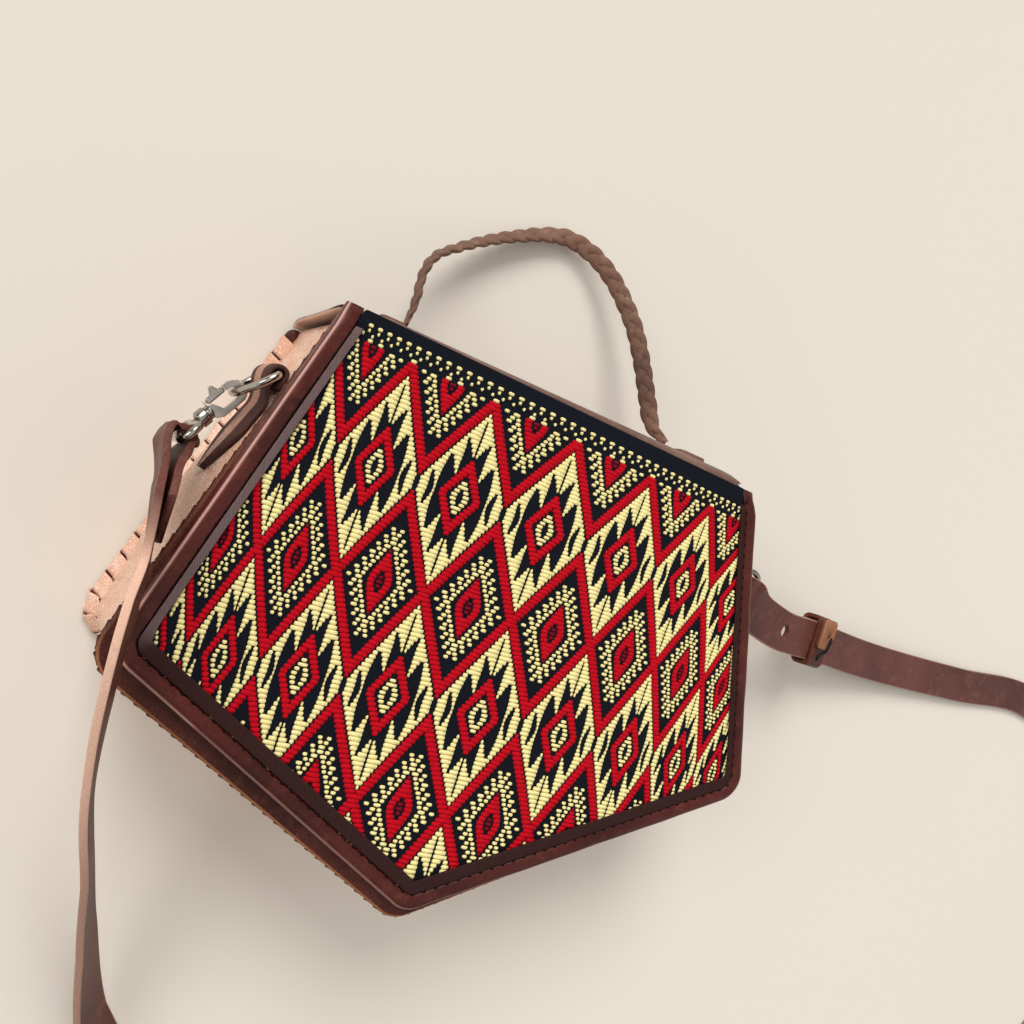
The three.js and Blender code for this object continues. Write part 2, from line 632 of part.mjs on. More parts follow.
function chain({ side, run, ringTurn, hookTurn, roll }) {
  sideTab(side, run);
  const fold = onGusset(run, FOLD.along, FOLD.out, TAB_Z);
  const ahead = onGusset(run, TAB[0].along, 0, 0).sub(onGusset(run, FOLD.along, 0, 0));
  const sign = run === 0 ? -1 : 1;
  const ringHeading = ahead.angle() + sign * degrees(ringTurn);
  const hookHeading = ahead.angle() + sign * degrees(hookTurn);
  const ring = add(`${side}_ring`, wireLoop(RING_OUTLINE, RING.length, RING.half, RING.wire), 'nickel');
  ring.position.set(fold.x, fold.y, TAB_Z);
  ring.rotation.z = ringHeading;
  const step = (reach, heading) => new THREE.Vector2(reach * Math.cos(heading), reach * Math.sin(heading));
  const eyeAt = fold.add(step(RING.length, ringHeading)).add(step(HOOK_CONTACT, hookHeading));
  const clip = new THREE.Group();
  clip.position.set(eyeAt.x, eyeAt.y, TAB_Z);
  clip.rotation.z = hookHeading + Math.PI;
  bag.add(clip);
  if (run === 0) {
    add(`${side}_swivel_eye`, geometryOf(eyeWire()), 'nickel', clip).rotation.x = degrees(roll);
    add(`${side}_hook`, geometryOf(hookBody()), 'nickel', clip);
    add(`${side}_gate`, closed(gateLever()), 'nickel', clip);
  } else {
    const stem = barAlongX(FIXED_STEM.radius, FIXED_STEM.length, FIXED_STEM.middle);
    const gate = solid(gateLever().translate(FIXED_GATE_SHIFT, -FIXED_GATE_SHIFT, 0));
    const eye = solid(geometryOf(eyeWire()).rotateX(degrees(roll)));
    add(`${side}_hook`, geometryOf(hookBody().add(eye).add(stem).add(gate)), 'nickel', clip);
  }
  return { at: clip.position, heading: clip.rotation.z };
}

// Strap, tongue and keeper

function strap(leftEye, rightEye) {
  const leftLoop = LOOP_ANGLES.map((angle) => {
    const heading = leftEye.heading - degrees(angle);
    const { x, y, z } = leftEye.at;
    const climb = LOOP_CLIMB * (angle / LOOP_ANGLES[0]) ** 2;
    return {
      x: x + LOOP_RADIUS * Math.cos(heading),
      y: y + LOOP_RADIUS * Math.sin(heading),
      z: z + climb,
      turn: 0,
    };
  });
  const rows = [...STRAP_PLY, ...leftLoop, ...STRAP_RUN];
  add('strap', ribbon(rows, STRAP_STEPS, STRAP_WIDTH, STRAP_WALL, turned(rows)), 'brown');
  const rightLoop = LOOP_ANGLES.map((angle) => {
    const { at, heading } = rightEye;
    const reach = LOOP_RADIUS * Math.cos(degrees(angle));
    const lift = -LOOP_RADIUS * Math.sin(degrees(angle));
    return { x: at.x + reach * Math.cos(heading), y: at.y + reach * Math.sin(heading), z: at.z + lift };
  });
  const tongueRows = [...TONGUE_PLY, ...rightLoop, ...TONGUE_RUN];
  const loopEnd = TONGUE_PLY.length + LOOP_ANGLES.length;
  const across = (place) => {
    const part = THREE.MathUtils.smoothstep(place, loopEnd, tongueRows.length - 1);
    return TONGUE_ACROSS[0].clone().lerp(TONGUE_ACROSS[1], part).normalize();
  };
  const tongue = solid(ribbon(tongueRows, STRAP_STEPS, STRAP_WIDTH, STRAP_WALL, across));
  const { radius, depth, sides, x, y, z } = TONGUE_HOLE;
  const punch = new THREE.CylinderGeometry(radius, radius, depth, sides).rotateX(Math.PI / 2);
  punch.translate(x, y, z);
  add('strap_tongue', geometryOf(tongue.subtract(solid(punch))), 'brown');
}

function roundedRectangle(width, height, round, Kind) {
  const [x, y] = [width / 2, height / 2];
  const outline = new Kind();
  outline.moveTo(-x + round, -y);
  outline.lineTo(x - round, -y);
  outline.absarc(x - round, -y + round, round, -Math.PI / 2, 0, false);
  outline.lineTo(x, y - round);
  outline.absarc(x - round, y - round, round, 0, Math.PI / 2, false);
  outline.lineTo(-x + round, y);
  outline.absarc(-x + round, y - round, round, Math.PI / 2, Math.PI, false);
  outline.lineTo(-x, -y + round);
  outline.absarc(-x + round, -y + round, round, Math.PI, Math.PI * 1.5, false);
  return outline;
}

function keeper() {
  const { length, width, height, wall, round, innerRound } = KEEPER_SIZE;
  const group = new THREE.Group();
  group.position.set(KEEPER.x, KEEPER.y, KEEPER.z);
  group.rotation.set(0, degrees(KEEPER.pitch), degrees(KEEPER.heading), 'ZYX');
  bag.add(group);
  const loop = roundedRectangle(width, height, round, THREE.Shape);
  loop.holes.push(roundedRectangle(width - 2 * wall, height - 2 * wall, innerRound, THREE.Path));
  const band = new THREE.ExtrudeGeometry(loop, { depth: length, bevelEnabled: false, curveSegments: 4 });
  band.translate(0, 0, -length / 2).rotateX(Math.PI / 2).rotateZ(Math.PI / 2);
  add('strap_keeper', closed(band), 'dark', group);
  const face = roundedRectangle(TAG.length, TAG.width, TAG.round, THREE.Shape);
  const [holeX, holeY] = LACE[0];
  face.holes.push(new THREE.Path().absarc(holeX, holeY - TAG.shift, TAG.hole, 0, Math.PI * 2, true));
  const tag = new THREE.ExtrudeGeometry(face, { depth: TAG.wall, bevelEnabled: false, curveSegments: 5 });
  const tagZ = height / 2 + SEAM_GAP;
  add('keeper_tag', closed(tag.translate(0, TAG.shift, tagZ)), 'tag', group);
  const top = tagZ + TAG.wall;
  const lace = LACE.map(([x, y, z]) => new THREE.Vector3(x, y, top + z));
  add('keeper_lace', tube(lace, LACE_RADIUS, LACE_SIDES, LACE_STEPS, false), 'lace', group);
}

body();
flap();
handle();
const [leftEye, rightEye] = CHAINS.map(chain);
strap(leftEye, rightEye);
keeper();

export default bag;
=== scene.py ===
# %% [markdown]
# # A leather shoulder bag with a woven flap
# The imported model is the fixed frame: every solid is in metres, with +X across
# the bag, +Y up towards the handle and +Z out of the flap. The bag lies on its
# back, so the floor is the plane z = 0. Each step below rebuilds one soft or
# shiny piece in finer form, exactly where its solid is.

# %% Load the frame
import math

import bmesh
import bpy
import numpy as np
from mathutils import Matrix, Vector


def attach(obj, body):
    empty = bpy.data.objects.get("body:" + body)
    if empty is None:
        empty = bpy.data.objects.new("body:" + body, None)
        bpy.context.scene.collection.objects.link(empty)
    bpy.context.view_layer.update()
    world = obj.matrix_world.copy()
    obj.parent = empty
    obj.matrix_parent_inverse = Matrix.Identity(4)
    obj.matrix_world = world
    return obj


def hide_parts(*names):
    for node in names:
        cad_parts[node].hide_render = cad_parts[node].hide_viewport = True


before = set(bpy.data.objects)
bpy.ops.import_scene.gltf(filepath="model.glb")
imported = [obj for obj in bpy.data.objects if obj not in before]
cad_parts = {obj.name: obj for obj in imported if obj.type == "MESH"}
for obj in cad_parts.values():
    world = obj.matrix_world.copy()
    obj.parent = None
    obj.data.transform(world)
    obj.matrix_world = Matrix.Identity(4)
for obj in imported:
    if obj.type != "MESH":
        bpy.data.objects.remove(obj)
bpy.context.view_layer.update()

MM = 0.001
scene = bpy.context.scene

# %% [markdown]
# ## Camera
# A camera is a place, three directions and a lens. Fitting the flap's corners
# and the repeat of its diamonds to the picture gave these numbers, so the
# camera is set from them and never nudged by eye.

# %% Camera
CAMERA_AT = (-148.8, 25.84, 307.2)
CAMERA_RIGHT = (0.8196, 0.3313, 0.4675)
CAMERA_UP = (-0.3127, 0.9423, -0.1196)
CAMERA_AHEAD = (0.4802, 0.0481, -0.8759)
CAMERA_LENS = 31.545
CAMERA_SENSOR = 36

camera = bpy.data.objects.new("camera", bpy.data.cameras.new("camera"))
camera_axes = np.array([CAMERA_RIGHT, CAMERA_UP, [-v for v in CAMERA_AHEAD]]).T
camera_turn = Matrix(camera_axes.tolist()).to_4x4()
camera.matrix_world = Matrix.Translation(Vector(CAMERA_AT) * MM) @ camera_turn
camera.data.sensor_width = CAMERA_SENSOR
camera.data.lens = CAMERA_LENS
camera.data.clip_start = 0.01
scene.collection.objects.link(camera)
scene.camera = camera
print("camera", CAMERA_LENS, "mm at", CAMERA_AT)

# %% [markdown]
# ## Writing materials as sums
# A material is a graph of nodes, and graphs are slow to read. Here one class
# wraps a socket, so that plain arithmetic adds Math nodes, and one method makes
# any other node from its type, its settings and its sockets. Colours only go
# through Mix nodes, since a Math node would turn them grey.

# %% Shader helpers


class Value:
    """A shader socket that can be added, multiplied and so on."""

    def __init__(self, finish, socket):
        self.finish = finish
        self.socket = socket

    def math(self, operation, *others):
        inputs = dict(enumerate([self, *others]))
        return self.finish.node("ShaderNodeMath", {"operation": operation}, inputs)

    def flipped(self, operation, other):
        return self.finish.node("ShaderNodeMath", {"operation": operation}, {0: other, 1: self})

    def __add__(self, other):
        return self.math("ADD", other)

    __radd__ = __add__

    def __sub__(self, other):
        return self.math("SUBTRACT", other)

    def __rsub__(self, other):
        return self.flipped("SUBTRACT", other)

    def __mul__(self, other):
        return self.math("MULTIPLY", other)

    __rmul__ = __mul__


class Finish:
    """One material, or the world's light, with its nodes and its shader."""

    def __init__(self, name, kind="materials", shader="Principled BSDF"):
        self.material = getattr(bpy.data, kind).new(name)
        self.material.use_nodes = True
        self.tree = self.material.node_tree
        self.shader = self.tree.nodes[shader]

    def node(self, kind, settings=None, sockets=None, output=0):
        made = self.tree.nodes.new(kind)
        for key, value in (settings or {}).items():
            if key == "stops":
                while len(made.color_ramp.elements) < len(value):
                    made.color_ramp.elements.new(0.5)
                for stop, (place, colour) in zip(made.color_ramp.elements, value):
                    stop.position = place
                    stop.color = colour
            else:
                setattr(made, key, value)
        for key, value in (sockets or {}).items():
            self.feed(made.inputs[key], value)
        return Value(self, made.outputs[output])

    def feed(self, socket, value):
        if isinstance(value, Value):
            self.tree.links.new(value.socket, socket)
        else:
            socket.default_value = value

    def place(self):
        return self.node("ShaderNodeTexCoord", output="Object")

    def path(self):
        return self.node("ShaderNodeUVMap", {"uv_map": "path"})

    def mark(self, name):
        return self.node("ShaderNodeAttribute", {"attribute_name": name}, output="Fac")

    def stretched(self, vector, scale, turn=0.0):
        sockets = {"Vector": vector, "Scale": scale, "Rotation": (0, 0, turn)}
        return self.node("ShaderNodeMapping", None, sockets)

    def noise(self, vector, scale, detail=3.0, roughness=0.5):
        sockets = {"Vector": vector, "Scale": scale, "Detail": detail, "Roughness": roughness}
        return self.node("ShaderNodeTexNoise", None, sockets)

    def pores(self, vector, scale):
        settings = {"feature": "DISTANCE_TO_EDGE"}
        return self.node("ShaderNodeTexVoronoi", settings, {"Vector": vector, "Scale": scale})

    def ribs(self, vector, scale, direction="X", distortion=0.0):
        settings = {"wave_type": "BANDS", "bands_direction": direction, "wave_profile": "SIN"}
        sockets = {"Vector": vector, "Scale": scale, "Distortion": distortion}
        return self.node("ShaderNodeTexWave", settings, sockets, "Fac")

    def between(self, value, low, high, first=0.0, last=1.0):
        sockets = {"Value": value, 1: low, 2: high, 3: first, 4: last}
        return self.node("ShaderNodeMapRange", {"clamp": True}, sockets)

    def mix(self, share, first, second, blend="MIX"):
        settings = {"data_type": "RGBA", "blend_type": blend}
        return self.node("ShaderNodeMix", settings, {0: share, 6: first, 7: second}, 2)

    def bump(self, height, distance, strength=1.0):
        sockets = {"Height": height, "Distance": distance, "Strength": strength}
        return self.node("ShaderNodeBump", None, sockets)

    def finish(self, **sockets):
        for key, value in sockets.items():
            self.feed(self.shader.inputs[key.replace("_", " ")], value)
        print("finish", self.material.name, len(self.tree.nodes), "nodes")
        return self.material


def tint(red, green, blue):
    """A screen colour of 0 to 255 as the linear colour that shaders use."""
    linear = []
    for value in (red, green, blue):
        share = value / 255
        linear.append(share / 12.92 if share < 0.04045 else ((share + 0.055) / 1.055) ** 2.4)
    return (*linear, 1.0)


# %% [markdown]
# ## Floor and light
# A pale seamless floor and soft even light suit a product picture. Two broad
# suns keep the floor one tone from side to side: one from behind the handle,
# which throws the soft shadow towards the viewer, and one from the left, which
# lights the gusset and gives the waxed leather its highlights.

# %% Floor and light
FLOOR_HALF = 4.0
FLOOR_DROP = 0.0002
FLOOR_COLOUR = (229, 221, 208)
WORLD_COLOUR = (1.0, 0.985, 0.96, 1.0)
# Strength of the backdrop between and in its soft bands, the width of these,
# and the one tone that the camera itself sees
WORLD_STRENGTH, WORLD_BANDS, WORLD_SEEN = (0.14, 0.9), 0.3, 0.84
# Each sun: where it shines from, its width as an angle and its strength
SUNS = {
    "key_sun": ((-0.3, 0.72, 0.62), 0.5, 1.8),
    "side_sun": ((-0.8, 0.2, 0.57), 0.5, 0.8),
}


def stage_floor():
    mesh = bpy.data.meshes.new("floor")
    corners = [(-1, -1), (1, -1), (1, 1), (-1, 1)]
    points = [(x * FLOOR_HALF, y * FLOOR_HALF, -FLOOR_DROP) for x, y in corners]
    mesh.from_pydata(points, [], [(0, 1, 2, 3)])
    paint = Finish("floor_paper")
    speckle = paint.noise(paint.place(), 3, 2)
    pale = tint(*FLOOR_COLOUR)
    shade = tint(*[v - 3 for v in FLOOR_COLOUR])
    colour = paint.mix(speckle, pale, shade)
    mesh.materials.append(paint.finish(Base_Color=colour, Roughness=0.9, Specular_IOR_Level=0.1))
    floor = bpy.data.objects.new("floor", mesh)
    scene.collection.objects.link(floor)


def hang_sun(name, at, width, power):
    lamp = bpy.data.lights.new(name, "SUN")
    lamp.angle = width
    lamp.energy = power
    holder = bpy.data.objects.new(name, lamp)
    holder.location = at
    holder.rotation_euler = (-Vector(at)).to_track_quat("-Z", "Y").to_euler()
    scene.collection.objects.link(holder)


def hang_backdrop():
    """Soft bands of light all round for the metal to reflect, and one tone for the camera."""
    paint = Finish("studio", "worlds", "Background")
    around = paint.node("ShaderNodeTexCoord", output="Generated")
    bands = paint.between(paint.ribs(around, WORLD_BANDS, "DIAGONAL"), 0, 1, *WORLD_STRENGTH)
    seen = paint.node("ShaderNodeLightPath", output="Is Camera Ray")
    return paint.finish(Color=WORLD_COLOUR, Strength=bands + seen * (WORLD_SEEN - bands))


stage_floor()
for sun_name, (sun_at, sun_width, sun_power) in SUNS.items():
    hang_sun(sun_name, sun_at, sun_width, sun_power)
scene.world = hang_backdrop()
scene.view_settings.view_transform = "Standard"
print("suns:", sorted(SUNS))

# %% [markdown]
# ## Leather finishes
# Every leather here is the same stuff in another colour: cloudy dye, fine pores
# that are cell borders of a Voronoi pattern, soft creases, and a cut edge that
# shows the paler or darker inside. A mark stored on each point tells the
# material where the cut edge is, so one recipe serves all pieces. On a few
# pieces the same mark and edge colour carry painted light or painted shade
# instead, as said where those pieces are made.

# %% Leather recipe


def leather(
    name, base, deep, light, edge, grain=750, relief=0.00012, gloss=0.45, crease=0.5, shine=0.18
):
    paint = Finish(name)
    at = paint.place()
    cloud = paint.noise(at, 28, 4)
    mottle = paint.noise(at, 170, 5, 0.6)
    fibre = paint.noise(at, 2400, 2)
    pores = paint.pores(at, grain)
    folds = paint.noise(paint.stretched(at, (1, 1.7, 1)), 95, 6, 0.62)
    colour = paint.mix(paint.between(cloud, 0.36, 0.66), tint(*base), tint(*deep))
    colour = paint.mix(paint.between(mottle, 0.52, 0.75, 0, 0.65), colour, tint(*light))
    colour = paint.mix(paint.between(pores, 0.0, 0.12, 0.45, 0), colour, tint(*[v * 0.5 for v in deep]))
    # The edge mark: a cut edge, and on the binding, the arch and the rims also painted highlight, light or
    # shade
    cut = paint.between(paint.mark("edge"), 0.0, 1.0)
    raw = paint.mix(paint.between(fibre, 0.35, 0.65), tint(*edge), tint(*[v * 0.92 for v in edge]))
    colour = paint.mix(cut, colour, raw)
    height = paint.between(pores, 0.0, 0.2) * 0.5 + folds * crease + fibre * 0.12
    rough = gloss + (mottle - 0.5) * 0.25 + cut * 0.25
    normal = paint.bump(height, relief)
    return paint.finish(Base_Color=colour, Roughness=rough, Normal=normal, Specular_IOR_Level=shine)


panel_leather = leather("panel_leather", (94, 46, 36), (66, 30, 25), (118, 66, 50), (190, 122, 78))
# The back panel's rim is painted dark: painted shade in the slits between the back lacing's tan wraps
back_leather = leather("back_leather", (94, 46, 36), (66, 30, 25), (118, 66, 50), (58, 34, 28))
# Edge colour of the arch's inner flesh side: its paler tone plus painted light on that shaded face
arch_leather = leather("arch_leather", (122, 88, 76), (100, 70, 60), (146, 112, 98), (222, 184, 162))
# Its near-white mottle is partly random paler patches, partly a painted highlight on the glossy gusset
gusset_leather = leather(
    "gusset_leather", (252, 206, 181), (222, 166, 134), (255, 236, 224), (120, 78, 58),
    grain=900, relief=0.0002, gloss=0.24, crease=0.8, shine=0.6,
)
# The binding's edge colour is its pale brow: rubbed wear and a painted highlight
binding_leather = leather(
    "binding_leather", (86, 34, 27), (60, 21, 16), (112, 52, 41), (214, 164, 150),
    grain=1100, relief=0.00004, gloss=0.36, crease=0.4, shine=0.2,
)
lacing_leather = leather(
    "lacing_leather", (84, 44, 33), (58, 29, 23), (116, 70, 50), (110, 74, 58), gloss=0.45
)
thong_leather = leather(
    "thong_leather", (250, 203, 178), (226, 170, 140), (255, 230, 214), (120, 78, 58),
    grain=900, gloss=0.36, shine=0.35,
)
braid_leather = leather(
    "braid_leather", (140, 104, 86), (104, 75, 61), (166, 129, 109), (150, 112, 90),
    grain=1400, gloss=0.55,
)
tab_leather = leather(
    "tab_leather", (200, 148, 128), (168, 114, 96), (224, 178, 160), (70, 38, 32),
    grain=620, relief=0.0002, gloss=0.42, crease=1.0, shine=0.3,
)
strap_leather = leather(
    "strap_leather", (108, 62, 52), (82, 44, 37), (134, 86, 72), (228, 184, 160),
    grain=800, relief=0.0001, gloss=0.46, crease=1.0,
)
tag_leather = leather("tag_leather", (168, 110, 74), (140, 86, 56), (194, 140, 102), (112, 70, 48))
lace_leather = leather("lace_leather", (30, 22, 20), (18, 13, 12), (52, 40, 36), (44, 34, 30))

# %% [markdown]
# ## Cloth and metal finishes
# The cloth is a dark ribbed ground with thick coloured floats lying on it, so
# each thread colour is a finish of its own with fine fibres running along the
# float. The tape is a twill: slanted ribs. The metal is polished nickel with
# faint scuffs in its roughness.

# %% Cloth and metal recipes


def thread(name, base, deep, rough=0.75):
    paint = Finish(name)
    at = paint.place()
    fibre = paint.noise(paint.stretched(at, (0.12, 1, 1)), 5200, 3, 0.6)
    patch = paint.noise(at, 260, 3)
    colour = paint.mix(paint.between(fibre, 0.35, 0.7), tint(*deep), tint(*base))
    colour = paint.mix(paint.between(patch, 0.4, 0.75, 0, 0.4), colour, tint(*deep))
    normal = paint.bump(fibre, 0.0003)
    return paint.finish(Base_Color=colour, Roughness=rough, Normal=normal, Specular_IOR_Level=0.1)


def ribbed_cloth(name, base, deep, rib, direction, turn=0.0, worn=None):
    paint = Finish(name)
    at = paint.stretched(paint.place(), (1, 1, 1), turn)
    ribs = paint.ribs(at, rib, direction, 0.6)
    fuzz = paint.noise(at, 1500, 4)
    colour = paint.mix(paint.between(ribs, 0.1, 0.9), tint(*deep), tint(*base))
    if worn:
        pale = paint.mix(paint.between(ribs, 0.2, 0.8), tint(*[v * 0.84 for v in worn]), tint(*worn))
        colour = paint.mix(paint.mark("edge"), colour, pale)
    colour = paint.mix(paint.between(fuzz, 0.5, 0.8, 0, 0.35), colour, tint(*[v * 1.3 for v in base]))
    normal = paint.bump(ribs + fuzz * 0.5, 0.00015)
    return paint.finish(Base_Color=colour, Roughness=0.85, Normal=normal, Specular_IOR_Level=0.1)


def nickel_plate():
    paint = Finish("nickel")
    at = paint.place()
    scuff = paint.noise(at, 420, 5, 0.6)
    haze = paint.noise(at, 60, 2)
    colour = paint.mix(paint.between(haze, 0.3, 0.7), tint(186, 180, 172), tint(140, 132, 124))
    rough = paint.between(scuff, 0.35, 0.75, 0.1, 0.28)
    return paint.finish(Base_Color=colour, Metallic=1.0, Roughness=rough)


red_thread = thread("red_thread", (222, 10, 34), (176, 5, 24))
crimson_thread = thread("crimson_thread", (150, 14, 36), (98, 8, 24))
yellow_thread = thread("yellow_thread", (255, 249, 190), (251, 231, 150))
stitch_thread = thread("stitch_thread", (26, 14, 13), (14, 8, 8))
navy_cloth = ribbed_cloth("navy_cloth", (21, 25, 34), (13, 15, 22), 450, "X")
tape_cloth = ribbed_cloth(
    "tape_cloth", (64, 38, 35), (48, 29, 28), 760, "X", math.radians(-22), (126, 104, 103)
)
nickel = nickel_plate()

# %% [markdown]
# ## Meshes from rings
# A strap, a rolled binding, a wire and a plate with a soft rim are all the same
# kind of mesh: closed rings of equal count, skinned one to the next. One loft
# function builds them, with a UV map that runs in metres along and around, and
# a mark for cut edges. Normals are set outwards at the end.

# %% Mesh helpers


def unit(vectors):
    vectors = np.asarray(vectors, float)
    return vectors / np.linalg.norm(vectors, axis=-1, keepdims=True)


def make_piece(name, part, material, edge=None):
    points, faces, uv = part
    mesh = bpy.data.meshes.new(name)
    mesh.from_pydata((np.asarray(points, float) * MM).tolist(), [], faces)
    layer = mesh.uv_layers.new(name="path")
    layer.data.foreach_set("uv", (np.asarray(uv, float) * MM).ravel())
    mark = mesh.attributes.new("edge", "FLOAT", "POINT")
    mark.data.foreach_set("value", np.zeros(len(points)) if edge is None else edge)
    mesh.materials.append(material)
    shape = bmesh.new()
    shape.from_mesh(mesh)
    bmesh.ops.recalc_face_normals(shape, faces=shape.faces)
    shape.to_mesh(mesh)
    shape.free()
    mesh.polygons.foreach_set("use_smooth", [True] * len(mesh.polygons))
    piece = bpy.data.objects.new(name, mesh)
    scene.collection.objects.link(piece)
    return piece


def loft(rings, shut=False):
    """Points, faces and UVs of closed rings skinned in order, with flat ends unless shut."""
    rings = np.asarray(rings, float)
    count, sides = rings.shape[:2]
    middle = rings.mean(axis=1)
    hops = np.linalg.norm(np.roll(middle, -1, 0) - middle, axis=1)
    along = np.concatenate([[0], np.cumsum(hops)])
    steps = np.linalg.norm(np.roll(rings, -1, 1) - rings, axis=2).mean(axis=0)
    around = np.concatenate([[0], np.cumsum(steps)])
    faces, uv = [], []
    for i in range(count if shut else count - 1):
        j = (i + 1) % count
        for k in range(sides):
            m = (k + 1) % sides
            faces.append((i * sides + k, i * sides + m, j * sides + m, j * sides + k))
            low, high = along[i], along[i + 1]
            uv += [(low, around[k]), (low, around[k + 1]), (high, around[k + 1]), (high, around[k])]
    if not shut:
        for i in (0, count - 1):
            faces.append(tuple(i * sides + k for k in range(sides)))
            uv += [(along[i], around[k]) for k in range(sides)]
    return rings.reshape(-1, 3), faces, uv


def join_parts(*parts):
    """Several (points, faces, uv) sets as one."""
    points, faces, uv = [], [], []
    for part_points, part_faces, part_uv in parts:
        start = sum(len(p) for p in points)
        points.append(part_points)
        faces += [tuple(start + k for k in face) for face in part_faces]
        uv += part_uv
    return np.vstack(points), faces, uv


def plain_mesh(piece):
    """Turns a piece's modifiers into its mesh."""
    bpy.context.view_layer.update()
    graph = bpy.context.evaluated_depsgraph_get()
    mesh = bpy.data.meshes.new_from_object(piece.evaluated_get(graph), depsgraph=graph)
    piece.modifiers.clear()
    old = piece.data
    piece.data = mesh
    bpy.data.meshes.remove(old)
    mesh.name = piece.name
    return piece


def settle(piece, slot, *nodes, body="bag"):
    """Puts a finished piece on its body, in the place of its solids."""
    if nodes:
        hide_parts(*nodes)
    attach(piece, body)
    print(piece.name, len(piece.data.vertices), "points", [round(v * 1000, 1) for v in piece.dimensions])
    return piece


# %% [markdown]
# ## Curves
# The solids run on centripetal Catmull-Rom curves, which pass through their
# points without overshooting. The same rule is written here for tables of
# points, so that each finer piece lies exactly on its solid.

# %% Curve helpers
SHORTEST_HOP = 1e-8


def spline(rows, steps, shut=False):
    """Points and unit tangents of the curve through rows, with steps to each gap."""
    rows = np.asarray(rows, float)
    count = len(rows)
    if shut:
        padded = np.vstack([rows[-1], rows, rows[0], rows[1]])
        gaps = count
    else:
        padded = np.vstack([2 * rows[0] - rows[1], rows, 2 * rows[-1] - rows[-2]])
        gaps = count - 1
    points, tangents = [], []
    for i in range(gaps):
        a, b, c, d = padded[i : i + 4]
        hops = np.linalg.norm([b - a, c - b, d - c], axis=1)
        first, second, third = np.maximum(hops, SHORTEST_HOP) ** 0.5
        start = ((b - a) / first - (c - a) / (first + second) + (c - b) / second) * second
        stop = ((c - b) / second - (d - b) / (second + third) + (d - c) / third) * second
        final = 0 if shut or i + 1 < gaps else 1
        for t in np.arange(steps + final) / steps:
            square, cube = 3 * (c - b) - 2 * start - stop, 2 * (b - c) + start + stop
            points.append(b + start * t + square * t**2 + cube * t**3)
            tangents.append(start + 2 * square * t + 3 * cube * t**2)
    return np.array(points), unit(tangents)


def distances(points):
    """How far along a line each of its points is."""
    return np.concatenate([[0], np.cumsum(np.linalg.norm(np.diff(points, axis=0), axis=1))])


def row_places(rows, points):
    """Which row of its table, in fractions, each point of a curve belongs to."""
    return np.linspace(0, len(rows) - 1, len(points))


def soft_step(value, low, high):
    share = np.clip((np.asarray(value, float) - low) / (high - low), 0, 1)
    return share * share * (3 - 2 * share)


def band_section(width, wall, soft, steps=6, bend=3):
    """A flat section with rounded corners: (across, out) points and their cut-edge marks."""
    half, up = width / 2, wall / 2
    reach = half - soft
    flat = np.concatenate([[-reach], np.linspace(-0.985 * reach, 0.985 * reach, steps - 1), [reach]])
    turn = np.radians(np.linspace(0, 90, bend + 1))[1:-1]
    right = [(half - soft + soft * math.sin(a), up - soft + soft * math.cos(a)) for a in turn]
    side = [(half, up - soft), (half, soft - up)]
    lower = [(x, -y) for x, y in right[::-1]]
    face = [(x, up) for x in flat]
    back = [(-x, -up) for x in flat]
    turned_half = [(-x, -y) for x, y in right + side + lower]
    points = np.array(face + right + side + lower + back + turned_half)
    cut = [1] + [0] * (len(face) - 2) + [1] * (2 * len(right) + 3)
    return points, np.array(cut * 2, float)


def sweep(centres, tangents, across, section):
    """Rings of a section carried along a curve; across is its width direction."""
    side = np.asarray(across, float)
    out = unit(np.cross(side, tangents))
    a, o = section[:, 0], section[:, 1]
    return centres[:, None] + side[:, None] * a[None, :, None] + out[:, None] * o[None, :, None]


def turned(tangents, degrees):
    """Width directions that stand on edge at 0 and lie flat at 90 degrees."""
    angle = np.radians(degrees)[:, None]
    level = unit(np.cross(tangents, [0, 0, 1]))
    return np.cross(level, tangents) * np.cos(angle) + level * np.sin(angle)


# %% [markdown]
# ## The five-sided outlines
# Body and flap are pentagons with rounded corners. A rail is the rounded
# outline as points with outward normals; it may be left open along the top
# edge, where the flap folds over and the mouth is.

# %% Outline helpers
BODY_CORNERS = [(-84.5, 74), (-116.5, -36), (-3, -95.5), (113.5, -34.5), (80, 74)]
BODY_DEPTH, BODY_WALL, SEAM_GAP = 56, 2.4, 0.3
GUSSET_INSET, BODY_ROUND, TOP_ROUND = 3, 11, 3
FLAP_CORNERS = [(-84.2, 78.5), (-112.7, -31.5), (-2.9, -90.3), (121, -30.6), (80.5, 77.6)]
FLAP_ROUND = 10
CORNER_STEPS, RUN_STEPS = 12, 40


def cross2(p, q):
    return p[0] * q[1] - p[1] * q[0]


def inset(corners, side, top=None):
    corners = np.asarray(corners, float)
    along = unit(np.roll(corners, -1, 0) - corners)
    inwards = np.stack([-along[:, 1], along[:, 0]], 1)
    amount = np.full((len(corners), 1), float(side))
    amount[-1] = side if top is None else top
    start = corners + inwards * amount
    moved = []
    for i in range(len(corners)):
        reach = cross2(start[i] - start[i - 1], along[i]) / cross2(along[i - 1], along[i])
        moved.append(start[i - 1] + along[i - 1] * reach)
    return np.array(moved)


